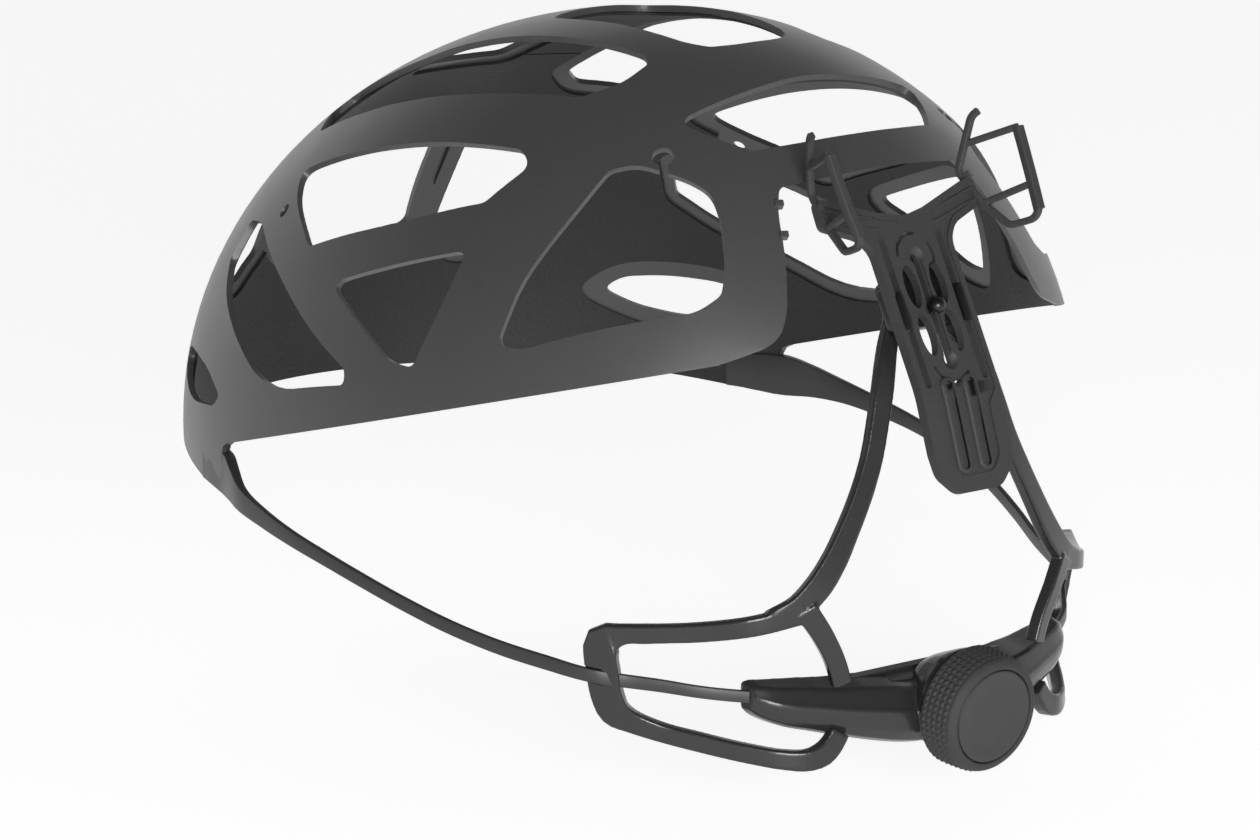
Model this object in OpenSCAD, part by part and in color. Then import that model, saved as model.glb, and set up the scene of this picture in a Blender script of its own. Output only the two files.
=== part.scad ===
// Inner frame of a mountain bike helmet: vented liner shell with its two belt arms,
// rear yoke with height track, sliding cradle and ratchet dial.
// Millimetres, +Z up, the brow faces -Y, the wearer's left is +X.

/* [Liner shell] */
// widest outside width of the liner shell
shell_width = 165; // [150:1:180]
// outside length of the liner shell, brow to nape
shell_length = 203.6; // [186:1:222]
// height of the crown above the rim plane
crown_height = 85.8; // [78:1:94]
// wall of the moulded liner shell
shell_wall = 1.3; // [1:0.1:2]
// corner radius of the vents
vent_corner = 3.2; // [2:0.2:5]

/* [Lining] */
// air gap between shell and lining, the glue line
lining_gap = 0.3; // [0.2:0.1:0.6]
// thickness of the comfort lining
lining_thick = 0.9; // [0.6:0.1:2]
// how far the lining stops short of every opening
lining_setback = 3.6; // [2.5:0.1:5]

/* [Belts] */
// height of a belt between its root and the wing slot
belt_height = 2.8; // [2.2:0.1:3.4]
// thickness of a belt
belt_thick = 1.1; // [0.8:0.1:1.5]

/* [Rear yoke] */
// thickness of the hanger plate
plate_thick = 2.2; // [1.8:0.1:3]
// width of the hanger plate
plate_width = 20.4; // [19:0.2:23]
// backward lean of the height track from vertical, degrees
plate_tilt = 27.5; // [22:0.5:32]
// distance between two height detents
detent_pitch = 10.7; // [9:0.1:11]
// diameter of the detent ball
ball_dia = 3.4; // [3:0.1:4]
// rod diameter of the anchor cages
cage_rod = 1.6; // [1.3:0.1:2]

/* [Cradle] */
// width of the cradle arms
arm_width = 4.2; // [3.6:0.1:5]
// thickness of the cradle arms and wing bars
arm_thick = 2.6; // [2:0.1:3]

/* [Dial] */
// diameter of the dial over the knurl
dial_dia = 24.6; // [22:0.2:27]
// depth of the knurled grip
dial_depth = 8.4; // [7:0.2:10]
// knurl peaks around one row
knurl_count = 38; // [30:1:44]
// downward tilt of the dial axis, degrees
dial_tilt = 8; // [4:0.5:12]

/* [Drive] */
// gear module of pinion and racks
gear_module = 0.5; // [0.46:0.01:0.52]
// backlash between pinion and rack
backlash = 0.2; // [0.14:0.02:0.26]
// radial running clearance of the dial spindle
run_gap = 0.06; // [0.03:0.01:0.09]
// free gap around sliding pieces
slide_gap = 0.2; // [0.12:0.02:0.3]

/* [Hidden] */
half_w = shell_width / 2;
front_len = shell_length * 0.542;
rear_len = shell_length - front_len;
set_back = 4.6;
crown_back = 7.7;
step_deg = 9;
sx = shell_width / 165;
sy = shell_length / 203.6;
sz = crown_height / 85.8;
spindle_r = 1.6;
teeth = 10;
pitch_r = gear_module * teeth / 2;
knob_back = [0, 99.3 * sy, -40.4];
track_mid = [0, 89.7 * sy, 36.8 * sz];
dial_front_y = knob_back[1] + (dial_depth + 0.3) * cos(dial_tilt) + (dial_dia / 2 - 1.2) * sin(dial_tilt);
mid_y = (dial_front_y + set_back - front_len) / 2;
lift = -knob_back[2] + 2.5 * sin(dial_tilt) + dial_dia / 2 * cos(dial_tilt);
col_shell = [0.2, 0.2, 0.205];
col_matte = [0.26, 0.26, 0.265];
col_gloss = [0.12, 0.12, 0.125];
col_lining = [0.16, 0.16, 0.165];

// whole object moved so that the middle of its underside is at the origin
module place() { translate([0, -mid_y, lift]) children(); }

// point of the dome: azimuth from the brow towards the wearer's left, elevation from the rim
function dome(az, el, off = 0) = [
  (half_w + off) * cos(el) * sin(az),
  -((cos(az) > 0 ? front_len : rear_len) + off) * cos(el) * cos(az)
    + set_back + crown_back * sin(el),
  (crown_height + off) * sin(el)];

// closed piece of the dome between two azimuths and two elevations
module dome_patch(az0, az1, el0, el1, off_out, off_in) {
  step = step_deg;
  na = round((az1 - az0) / step);
  ne = round((el1 - el0) / step);
  full = (az1 - az0) >= 360;
  cols = full ? na : na + 1;
  pole = el1 >= 90;
  rows = pole ? ne : ne + 1;
  n = rows * cols;
  pts = concat(
    [for (j = [0:rows - 1], i = [0:cols - 1]) dome(az0 + i * step, el0 + j * step, off_out)],
    [for (j = [0:rows - 1], i = [0:cols - 1]) dome(az0 + i * step, el0 + j * step, off_in)],
    pole ? [dome(0, 90, off_out), dome(0, 90, off_in)] : []);
  function at(i, j) = j * cols + (i % cols);
  lim = full ? cols - 1 : cols - 2;
  faces = concat(
    [for (j = [0:rows - 2], i = [0:lim]) [at(i, j), at(i, j + 1), at(i + 1, j + 1), at(i + 1, j)]],
    [for (j = [0:rows - 2], i = [0:lim])
      [n + at(i, j), n + at(i + 1, j), n + at(i + 1, j + 1), n + at(i, j + 1)]],
    [for (i = [0:lim]) [at(i, 0), at(i + 1, 0), n + at(i + 1, 0), n + at(i, 0)]],
    pole ? [for (i = [0:lim]) [at(i, rows - 1), 2 * n, at(i + 1, rows - 1)]]
      : [for (i = [0:lim]) [at(i, rows - 1), n + at(i, rows - 1), n + at(i + 1, rows - 1), at(i + 1, rows - 1)]],
    pole ? [for (i = [0:lim]) [n + at(i, rows - 1), n + at(i + 1, rows - 1), 2 * n + 1]] : [],
    full ? [] : [for (j = [0:rows - 2]) [at(0, j), n + at(0, j), n + at(0, j + 1), at(0, j + 1)]],
    full ? [] : [for (j = [0:rows - 2])
      [at(cols - 1, j), at(cols - 1, j + 1), n + at(cols - 1, j + 1), n + at(cols - 1, j)]],
    (!full && pole) ? [[at(0, rows - 1), n + at(0, rows - 1), 2 * n + 1, 2 * n],
      [at(cols - 1, rows - 1), 2 * n, 2 * n + 1, n + at(cols - 1, rows - 1)]] : []);
  polyhedron(pts, faces, convexity = 8);
}

// vent outlines as azimuth and elevation pairs on the wearer's left half
vent_temple = [[57, 38], [63, 34.5], [74.5, 29.3], [90, 35.8], [104, 40.6], [109.5, 47],
  [106, 49.6], [98, 49.6], [86, 48.6], [73, 45.4], [62, 40.8]];
vent_side = [[82.6, 25.6], [104.8, 33.6], [103.5, 25], [101.5, 17], [97.5, 17.2]];
vent_corner_front = [[50, 29.5], [51, 24], [58, 18.6], [66, 14.6], [77, 9.2], [90.5, 13],
  [90, 15], [82, 19], [74, 23.2], [64, 27.2], [57, 29.6]];
vent_brow = [[43.5, 6.5], [48, 4.2], [55, 2.8], [64, 4.2], [65.5, 6], [60, 8.6], [52, 9.2], [46, 8.6]];
vent_crown = [[46, 43], [34, 44.6], [31, 48], [35, 53], [41, 59], [43.5, 63.5], [56, 69.5], [76, 73],
  [105, 73.6], [126, 71], [128, 68.6], [122, 63.5], [112, 60], [89, 58.6], [67, 53.6], [56, 48.6]];
vent_front = [[18.5, 40], [19, 28], [18, 17], [22, 13], [33, 14], [36, 20], [31, 30], [25, 40]];
vent_rear = [[113.4, 21.4], [117, 21], [141, 27], [144.6, 29.4], [145.4, 33], [145.2, 40], [144, 44],
  [140, 46.2], [130, 48.6], [125, 47.4], [121, 41], [118, 36], [115, 30]];
vent_brow_mid = [[0, 41], [9, 41], [13, 33], [13.5, 18], [9, 15], [0, 14.6]];
vent_crown_mid = [[0, 53], [12, 53.4], [14, 56], [22, 65], [0, 66.5]];
vent_nape = [[180, 64.6], [160, 62.6], [146, 59.4], [137.6, 56.2], [146, 53], [153.4, 50.8], [165, 51.8],
  [180, 52.3]];
// vent on the top of the crown, as seen from above, its half on the wearer's left
vent_top = [[0, -10.6], [9.6, -10.6], [13, -8.4], [14, -3], [14.2, 12], [13.8, 24], [12.8, 31.6], [10.2, 35.8],
  [5, 37.4], [0, 37.6]];

function cross3(a, b) = [a[1] * b[2] - a[2] * b[1], a[2] * b[0] - a[0] * b[2], a[0] * b[1] - a[1] * b[0]];
function unit(a) = a / norm(a);
function flip(list) = [for (i = [len(list) - 1:-1:0]) [-list[i][0], list[i][1]]];

// prism through a vent outline, square to the dome at the given azimuth and elevation
module vent_cut(outline, az, el, grow = 0, depth = 30, r = vent_corner, convex = false) {
  c = dome(az, el);
  u = unit(dome(az + 1, el) - dome(az - 1, el));
  w = unit(dome(az, el + 1) - dome(az, el - 1));
  n = unit(cross3(u, w));
  v = cross3(n, u);
  flat = [for (p = outline) let (d = dome(p[0], p[1]) - c) [d * u, d * v]];
  multmatrix([[u[0], v[0], n[0], c[0]], [u[1], v[1], n[1], c[1]], [u[2], v[2], n[2], c[2]], [0, 0, 0, 1]])
    if (convex) hull() vent_prism(flat, grow, depth, r);
    else vent_prism(flat, grow, depth, r);
}
module vent_prism(flat, grow, depth, r) {
  translate([0, 0, -depth]) linear_extrude(depth + 14)
    if (grow > 0) offset(delta = grow, chamfer = true) polygon(flat);
    else offset(r = r, $fn = 12) offset(delta = -r) polygon(flat);
}
module pair() { children(); mirror([1, 0, 0]) children(); }

module all_vents(grow = 0) {
  pair() {
    vent_cut(vent_temple, 84, 42, grow);
    vent_cut(vent_side, 98, 25, grow, 20, vent_corner * 0.6, true);
    vent_cut(vent_corner_front, 70, 20, grow * 0.7, 24, vent_corner * 0.6);
    vent_cut(vent_brow, 54, 6, grow, 20, vent_corner * 0.6, true);
    vent_cut(vent_crown, 74, 61, grow, 34, vent_corner * 0.9);
    vent_cut(vent_front, 26, 26, grow, 24, vent_corner * 0.9);
    vent_cut(vent_rear, 131, 36, grow, 30, vent_corner);
    keyhole(grow);
  }
  vent_cut(concat(vent_brow_mid, flip(vent_brow_mid)), 0, 28, grow, 24);
  vent_cut(concat(vent_crown_mid, flip(vent_crown_mid)), 0, 60, grow, 20);
  vent_cut(concat(vent_nape, [for (i = [len(vent_nape) - 2:-1:1]) [-vent_nape[i][0], vent_nape[i][1]]]),
    180, 58, grow, 30, vent_corner * 0.8);
  scale([sx, sy, sz]) translate([0, 0, 60]) linear_extrude(40)
    offset(r = vent_corner, $fn = 16) offset(delta = grow * 0.4 - vent_corner) polygon(concat(vent_top, flip(vent_top)));
}

// slotted keyhole that opens into the rear side vent, and the small hole ahead of it
module keyhole(grow = 0) {
  a = dome(135, 50); b = dome(135.4, 46.6); c = dome(62, 32.4);
  n = unit(cross3(dome(136, 50) - dome(134, 50), dome(135, 51) - dome(135, 49)));
  m = unit(cross3(dome(63, 32.4) - dome(61, 32.4), dome(62, 33) - dome(62, 31)));
  hull() { bar(a - 5 * n, a + 5 * n, 4.4 + 2 * grow); }
  hull() { bar(a - 5 * n, a + 5 * n, 1.7 + 2 * grow); bar(b - 5 * n, b + 5 * n, 1.7 + 2 * grow); }
  hull() { bar(c - 5 * m, c + 5 * m, 3 + 2 * grow); }
}

// round bar between two points
module bar(p, q, d, fn = 20) {
  v = q - p;
  l = norm(v);
  translate(p) rotate([0, acos(v[2] / l), atan2(v[1], v[0])]) cylinder(h = l, d = d, $fn = fn);
}

// side view of everything below the rim, widened by the setback for the lining
module below_rim(up = 0) {
  rotate([90, 0, 90]) translate([0, 0, -120]) linear_extrude(240)
    polygon([[-150, -6.6 + up], [-78, -6.8 + up], [-62, -8.4 + up], [-47, -10 + up],
      [-37.4 - up, -10.6 + up], [-37.4 - up, -2], [-36.6 - up, -0.6 + up], [-34.6, 0.4 + up],
      [-20, 4.2 + up], [40, 19.7 + up], [84, 31 + up], [150, 40 + up], [150, -80], [-150, -80]]);
}
// rear view of the notch that the yoke hangs in
module rear_notch(up = 0) {
  rotate([90, 0, 0]) translate([0, 0, -140]) linear_extrude(100)
    offset(r = 3, $fn = 24) offset(delta = -3 + up)
      polygon([[-42, 10], [-35.4, 33], [-33, 38], [-30.4, 46], [-26.4, 56], [-23.4, 60.4], [-12, 61.8],
        [0, 62.4], [12, 61.8], [23.4, 60.4], [26.4, 56], [30.4, 46], [33, 38], [35.4, 33], [42, 10]]);
}

module liner_shell() color(col_shell) place() difference() {
  union() {
    dome_patch(0, 360, -18, 90, 0, -shell_wall);
    for (s = [-1, 1], e = [39.6, 45.4]) hull() { edge_lug(s, e); }
  }
  scale([sx, sy, sz]) below_rim();
  scale([sx, sy, sz]) rear_notch();
  all_vents();
}
// small raised nub on the upright edge of the notch
module edge_lug(side, el) {
  translate(dome(side * (el > 42 ? 143.6 : 145), el, 0.1)) rotate([0, 0, side * -36]) cube([1.7, 1.1, 1.3], center = true);
}

module lining(az0, az1, el0, el1) color(col_lining) place() difference() {
  dome_patch(az0, az1, el0, el1, -shell_wall - lining_gap, -shell_wall - lining_gap - lining_thick);
  scale([sx, sy, sz]) below_rim(lining_setback * 0.6);
  scale([sx, sy, sz]) rear_notch(lining_setback);
  all_vents(lining_setback);
}
module brow_lining() lining(-63, 63, -9, 54);
module left_lining() lining(63.4, 153.4, -9, 54);
module right_lining() mirror([1, 0, 0]) left_lining();
module crown_lining() lining(0, 360, 54.4, 90);

// belts: half-width in plan and height along the head, brow root to wing slot to housing mouth
belt_path = [[74.8, -39.6, -6, 8], [76, -36.4, -6.2, 8.2], [78.3, -32, -7, 7], [81, -25, -8.7, 5.1], [83, -15, -10.9, 3.9],
  [83.8, -5, -13.1, 3.2], [83.4, 5, -15.5, 2.9], [82, 15, -18.4, 2.8], [79.6, 25, -21.7, 2.8],
  [76.3, 35, -25, 2.8], [72.2, 44.6, -27.8, 2.8], [68, 54.4, -29.8, 2.8], [65.2, 60.6, -31, 2.7],
  [62.7, 63.8, -31.7, 2.7], [59.6, 65.8, -32.4, 2.6], [54.2, 71.4, -33.3, 2.5], [48.8, 77, -34.4, 2.4],
  [43.2, 81, -35.3, 2.4], [37, 84.8, -36, 2.4], [29.4, 87.6, -36.8, 2.4]];
module belt() {
  n = len(belt_path);
  P = [for (p = belt_path) [p[0] * sx, p[1] * sy, p[2]]];
  for (i = [0:n - 2]) hull() { belt_post(P, i, n); belt_post(P, i + 1, n); }
}
module belt_post(P, i, n, room = 0) {
  a = P[max(i - 1, 0)]; b = P[min(i + 1, n - 1)];
  g = atan2(b[1] - a[1], b[0] - a[0]);
  h = belt_path[i][3] * belt_height / 2.8;
  translate(P[i]) rotate([0, 0, g]) cube([0.4 + room, belt_thick + 2 * room, h + 2 * room], center = true);
}
// the way of the belt between two of its stations, with room all round
module belt_way(first, last, room) {
  P = [for (p = belt_path) [p[0] * sx, p[1] * sy, p[2]]];
  for (i = [first:last - 1]) hull() { belt_post(P, i, len(P), room); belt_post(P, i + 1, len(P), room); }
}
module left_belt() color(col_shell) place() belt();
module right_belt() color(col_shell) place() mirror([1, 0, 0]) belt();

// frame of the height track: x across, y up the track, z into the head
module on_track(s = 0) { translate(track_mid) rotate([90 + plate_tilt, 0, 0]) translate([0, s, 0]) children(); }
tab_bend = 9.5;
tab_at = -16.5;
module on_tab() { on_track(tab_at) rotate([-tab_bend, 0, 0]) children(); }

module plate_outline(inset = 0) {
  w = plate_width / 2 - inset;
  offset(r = 1.6, $fn = 24) offset(delta = -1.6)
    polygon([[-w, tab_at], [w, tab_at], [w, 12.8], [w + 2.2, 15.8 - inset], [20.9 - inset, 18.9 + inset * 0.4],
      [20.6 - inset, 25 - inset], [6.4, 20.2 - inset], [0, 18.9 - inset], [-6.4, 20.2 - inset],
      [-20.6 + inset, 25 - inset], [-20.9 + inset, 18.9 + inset * 0.4], [-w - 2.2, 15.8 - inset], [-w, 12.8]]);
}
module tab_outline(inset = 0) {
  w = plate_width / 2 - inset;
  offset(r = 4, $fn = 24) offset(delta = -4)
    polygon([[-w, 0.5], [w, 0.5], [w, -12], [w - 0.7, -16.4], [5.4, -20.3 + inset], [-5.4, -20.3 + inset],
      [-w + 0.7, -16.4], [-w, -12]]);
}
module capsule(x, y0, y1, w) {
  translate([x, y0]) circle(d = w, $fn = 24);
  translate([x, y1]) circle(d = w, $fn = 24);
  translate([x, (y0 + y1) / 2]) square([w, abs(y1 - y0)], center = true);
}
module oval(x, y, w, h) { translate([x, y]) scale([w, h]) circle(d = 1, $fn = 48); }
module arc_slit(y, r, a0, a1, w) {
  n = 12;
  polygon(concat([for (k = [0:n]) let (t = a0 + (a1 - a0) * k / n) [0, y] + (r + w / 2) * [cos(t), sin(t)]],
    [for (k = [n:-1:0]) let (t = a0 + (a1 - a0) * k / n) [0, y] + (r - w / 2) * [cos(t), sin(t)]]));
}
module plate_holes() {
  for (s = [-1, 1]) {
    translate([s * 7.5, 0]) square([2, 31.2], center = true);
    for (y = [4.7, -5.1]) oval(s * 3.6, y, 3, 9.2);
  }
  capsule(0, -detent_pitch, detent_pitch, ball_dia * 0.45);
  for (k = [-1:1]) translate([0, k * detent_pitch]) circle(d = ball_dia * 0.8, $fn = 32);
  arc_slit(detent_pitch, 5, 25, 100, 0.7);
  arc_slit(detent_pitch, 4.4, 150, 205, 0.7);
  arc_slit(-detent_pitch, 4.6, 215, 350, 0.7);
}

module rear_yoke() color(col_matte) place() difference() {
  union() {
    on_track() translate([0, 0, 0.5]) linear_extrude(plate_thick - 0.5) plate_outline();
    on_track() linear_extrude(plate_thick) plate_outline(1.3);
    on_tab() translate([0, 0, 0.5]) linear_extrude(plate_thick - 0.5) tab_outline();
    on_tab() linear_extrude(plate_thick) tab_outline(1.3);
    on_tab() for (s = [-1, 1]) translate([s * 2.85, 0, -0.35]) linear_extrude(1)
      difference() { capsule(0, 0.6, -14.8, 4); capsule(0, 0.6, -14.8, 2.6); }
    on_track() for (s = [-1, 1], e = [0, 1]) translate([s * (13.4 + e * 0.8), 18.6 + e * 2.6, -0.35])
      rotate([0, 0, s * 15]) cube([12.4, 1, 1.4], center = true);
  }
  on_track() translate([0, 0, -3]) linear_extrude(12) plate_holes();
  on_track() translate([0, 0, -1]) linear_extrude(1.9) capsule(0, -detent_pitch, detent_pitch, ball_dia * 0.86);
  on_track() for (k = [-1:1]) translate([0, k * detent_pitch, -1.1]) sphere(d = ball_dia + 1.5, $fn = 32);
  on_tab() translate([0, 0, -3]) linear_extrude(12) for (s = [-1, 1]) capsule(s * 2.85, 0.6, -14.8, 2.1);
}

// wire cage that anchors the yoke in the foam, one each side
cage = [[22.4, 78.6, 70.6], [21.4, 77.2, 68.6], [20.8, 77.2, 63.5], [20.4, 78, 58.8], [20.6, 82.8, 53.6],
  [22.2, 88, 50], [24, 93, 51.6], [24.3, 93.8, 53.8], [24.5, 91.6, 58.6], [25, 88, 66], [25.1, 86.8, 68.4]];
module anchor_cage() {
  C = [for (p = cage) p - [0, 89.7, 36.8] + track_mid];
  for (i = [0:len(C) - 2]) hull() { rod_end(C[i], 1); rod_end(C[i + 1], 1); }
  hull() { rod_end(C[2], 0.9); rod_end(C[9], 0.9); }
  hull() { rod_end(C[4], 0.9); rod_end(C[8], 0.9); }
}
module rod_end(p, k) { translate(p) sphere(d = cage_rod * k, $fn = 8); }
module left_anchor_cage() color(col_matte) place() anchor_cage();
module right_anchor_cage() color(col_matte) place() mirror([1, 0, 0]) anchor_cage();

// slider behind the plate: block, two side hooks, ball stud in the middle socket
hook_len = 8;
module detent_slider() color(col_gloss) place() on_track() {
  z0 = plate_thick + slide_gap;
  translate([0, 0, z0 + 1.5]) cube([17.4, 12.4, 3], center = true);
  for (s = [-1, 1]) {
    translate([s * 7.5, 0, z0 / 2 - 0.3]) cube([2 - 2 * slide_gap, hook_len, z0 + 2.2], center = true);
    translate([s * 8, 0, -slide_gap - 0.65]) cube([3, hook_len, 0.9], center = true);
  }
  translate([0, 0, -1]) cylinder(h = z0 + 2, d = ball_dia * 0.45 - 2 * slide_gap + 0.1, $fn = 32);
  translate([0, 0, -1.05]) sphere(d = ball_dia, $fn = 48);
}

// cradle: arm, wing loop and struts, laid along a line of stations x, y, z
arm_line = [[3.2, 79.8, 41], [4.8, 81.8, 37.2], [7.2, 83.8, 33.4], [10.2, 85.6, 30], [12.4, 88, 26.8], [13.9, 89.6, 22.6],
  [15.5, 90.6, 16.6], [17.9, 91.4, 9.6], [21, 91.9, 3], [24.7, 92, -3.6], [28.5, 91.8, -9.8],
  [31.8, 91.4, -14, 4.2], [35.6, 90.4, -17.6, 3.8], [40.6, 88, -19.8, 3.2]];
loop_line = [[34.6, 90.8, -18.6, 3.4], [43, 86.6, -20.5, 3.3], [50, 78.2, -22.1, 3.2], [56.5, 70.5, -22.8, 3.2],
  [60.1, 66.2, -23.2, 3.6], [62.2, 63.7, -24.2, 6.6], [62.3, 63.2, -27.4, 5.9], [61.6, 63.1, -31, 5.8],
  [60.7, 63.1, -35.5, 5.6], [59.3, 63.8, -39.2, 5.2], [56.6, 65.4, -41.4, 3.5], [53.4, 68, -43.1, 2.8],
  [47.2, 75.4, -45.4, 2.7], [41.2, 83, -47.2, 2.7], [37, 87.6, -48.1, 2.7], [32.6, 90.5, -48.3, 3],
  [30.1, 91.3, -47.5, 3.4], [28, 91.8, -45.4, 3], [26.6, 92, -43, 2.8]];
strut_line = [[34.4, 91, -17.8], [31, 91.8, -23], [27.2, 92, -30], [26, 92, -33]];
// closed tube through the stations of a line, with a bevelled section w wide and t thick
function plan(line) = [for (p = line) [p[0] * sx, p[1] * sy, p[2]]];
function wide(line, w) = [for (p = line) len(p) > 3 ? p[3] * arm_thick / 2.6 : w];
function ring(P, i, w, t) =
  let (n = len(P), d = unit(P[min(i + 1, n - 1)] - P[max(i - 1, 0)]),
    q = unit([P[i][0] / 2.2, P[i][1] - 24 * sy, (P[i][2] > 20 ? 30 : 0)]),
    s = unit(cross3(d, q)), m = cross3(s, d), a = w / 2, b = t / 2, c = 0.7)
  [for (e = [[a, -b + c], [a, b - c], [a - c, b], [-a + c, b], [-a, b - c], [-a, -b + c], [-a + c, -b], [a - c, -b]])
    P[i] + e[0] * s + e[1] * m];
module sweep(line, w, t) {
  P = plan(line);
  W = wide(line, w);
  n = len(P);
  pts = [for (i = [0:n - 1]) each ring(P, i, W[i], t)];
  polyhedron(pts, concat([[for (k = [7:-1:0]) k]], [[for (k = [0:7]) (n - 1) * 8 + k]],
    [for (i = [0:n - 2], k = [0:7]) [i * 8 + k, (i + 1) * 8 + (k + 1) % 8, (i + 1) * 8 + k]],
    [for (i = [0:n - 2], k = [0:7]) [i * 8 + k, i * 8 + (k + 1) % 8, (i + 1) * 8 + (k + 1) % 8]]), convexity = 6);
}
module strut() {
  P = plan(strut_line);
  for (i = [0:2]) hull() { strut_end(P, i); strut_end(P, i + 1); }
}
module strut_end(P, i) {
  R = ring(P, i, arm_width * 0.9, arm_thick);
  d = unit(P[min(i + 1, 3)] - P[max(i - 1, 0)]) * 0.1;
  polyhedron(concat([for (p = R) p - d], [for (p = R) p + d]), concat([[for (k = [7:-1:0]) k]],
    [[for (k = [0:7]) 8 + k]], [for (k = [0:7]) [k, (k + 1) % 8, 8 + (k + 1) % 8, 8 + k]]));
}
module cradle_half() {
  difference() {
    union() {
      sweep(arm_line, arm_width, arm_thick);
      sweep(loop_line, arm_width, arm_thick + 0.2);
      strut();
    }
    hull() { belt_gate(62.8, 63.8, -31.7, 2.2); belt_gate(59.6, 65.8, -32.4, 2.2); }
    hull() { belt_gate(59.6, 65.8, -32.4, 2.2); belt_gate(54, 71.2, -33.3, 2.2); }
    hull() { belt_gate(64.1, 62, -31.4, 8); belt_gate(62.6, 63.9, -31.7, 8); }
    belt_way(11, 15, 0.3);
  }
}
// clear section around the belt where it passes the front upright of the wing
module belt_gate(x, y, z, d) {
  translate([x * sx, y * sy, z]) rotate([0, 0, -48]) cube([0.6, d - 1.6 + belt_thick - 0.1, 2.9 * belt_height / 2.8 + 0.5],
    center = true);
}
module cradle_frame() color(col_gloss) place() {
  pair() cradle_half();
  on_track() hull() for (x = [-6.6, 6.6], y = [-4, 6])
    translate([x, y, plate_thick + slide_gap + 3]) cylinder(h = 2.2, r = 2, $fn = 16);
}

// frame of the dial: x across, y down, z out along the dial axis, zero at the back of the knob
module on_dial() { translate(knob_back) rotate([-90 - dial_tilt, 0, 0]) children(); }

// housing section at x: centre y and z of the head frame, depth and height
house = [[41.9, 82, -35.6, 4.6, 5.4], [38.6, 84, -36.1, 6.6, 7.2], [31, 87, -37.3, 8.4, 9.2],
  [21.6, 90, -38.9, 10.4, 10.9], [13, 91.8, -40.1, 12, 12.2]];
module house_section(k, side) {
  h = house[k];
  translate([side * h[0] * sx, h[1] * sy, h[2]]) rotate([90, 0, 90]) linear_extrude(0.2, center = true)
    polygon([[-h[3] * 0.5, -h[4] * 0.42], [-h[3] * 0.42, -h[4] / 2], [h[3] * 0.28, -h[4] / 2],
      [h[3] * 0.44, -h[4] * 0.34], [h[3] / 2, h[4] * 0.04], [h[3] * 0.38, h[4] * 0.38], [h[3] * 0.22, h[4] / 2],
      [-h[3] * 0.42, h[4] / 2], [-h[3] / 2, h[4] * 0.42]]);
}
drive_x = 10;
travel = pitch_r * 150 * PI / 180;
web_x = drive_x + 2.2;
arm_end = web_x + 8.8;
cavity_y = pitch_r + 1.05 * gear_module + 1.25;
module dial_housing() color(col_gloss) place() difference() {
  union() {
    for (s = [-1, 1], k = [0:3]) hull() { house_section(k, s); house_section(k + 1, s); }
    hull() { house_section(4, 1); house_section(4, -1); }
    on_dial() hull() {
      translate([0, 0, -2.6]) cylinder(h = 2.4, r = dial_dia / 2 - 0.4, $fn = 36);
      translate([0, 0, -7.6]) cylinder(h = 1, r = dial_dia / 2 - 3.8, $fn = 36);
    }
  }
  on_dial() {
    translate([0, 0, -24]) linear_extrude(24 - 11.4) base_outline(0.1);
    translate([-web_x - travel - 0.3, -cavity_y, -11.5]) cube([2 * (web_x + travel + 0.3), 2 * cavity_y, 3.5]);
    translate([-arm_end - travel - 0.4, -1.5, -11.5]) cube([2 * (arm_end + travel + 0.4), 3, 3.5]);
    translate([0, 0, -9]) cylinder(h = 7, r = 3 + run_gap, $fn = 48);
    translate([0, 0, -3.1]) cylinder(h = 8, r = 9.2, $fn = 48);
  }
  pair() {
    n = len(belt_path);
    belt_way(n - 4, n - 1, 0.6);
    translate([(belt_path[n - 1][0] - 2) * sx, (belt_path[n - 1][1] + 0.7) * sy, belt_path[n - 1][2] - 0.2])
      rotate([0, 0, -20]) cube([4, belt_thick + 1.2, 2.4 * belt_height / 2.8 + 1.2], center = true);
  }
}
module base_outline(grow = 0) {
  a = web_x + travel + 0.7; b = arm_end + travel + 1; h = cavity_y + 0.45;
  offset(delta = grow) polygon([[-a, -h], [a, -h], [b, -2.2], [b, 2.2], [a, h], [-a, h], [-b, 2.2], [-b, -2.2]]);
}
module housing_base() color(col_matte) place() on_dial() difference() {
  translate([0, 0, -13.4]) linear_extrude(2) base_outline(0);
  translate([0, 0, -15]) cylinder(h = 8, r = spindle_r + run_gap, $fn = 48);
}

// click ring: internal teeth, fixed in the mouth of the housing
click_r = 8.2;
click_teeth = 24;
module click_ring() color(col_matte) place() on_dial() translate([0, 0, -3.1]) linear_extrude(2.8) difference() {
  circle(r = 9.14, $fn = 48);
  polygon([for (i = [0:click_teeth - 1], k = [0:1])
    let (t = (i + k * 0.82) * 360 / click_teeth) (k == 0 ? click_r - 0.8 : click_r) * [cos(t), sin(t)]]);
}
module click_spring() color([0.62, 0.6, 0.55]) place() on_dial() translate([0, 0, -2.7]) difference() {
  union() {
    cylinder(h = 1.8, r = 4.4, $fn = 40);
    for (a = [0, 180]) rotate(a) linear_extrude(1.8) polygon(spring_arm);
  }
  translate([0, 0, -1]) cylinder(h = 4, r = 3.02, $fn = 40);
}
// arm that winds outwards from the hub and ends in a tooth
spring_arm = concat([for (t = [-10:10:100]) (3.7 + max(t, 0) * 0.029) * [cos(t), sin(t)]],
  [7.1 * [cos(104), sin(104)], 7.35 * [cos(99), sin(99)]],
  [for (t = [94:-10:-10]) (4.4 + max(t, 0) * 0.029) * [cos(t), sin(t)]]);

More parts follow.
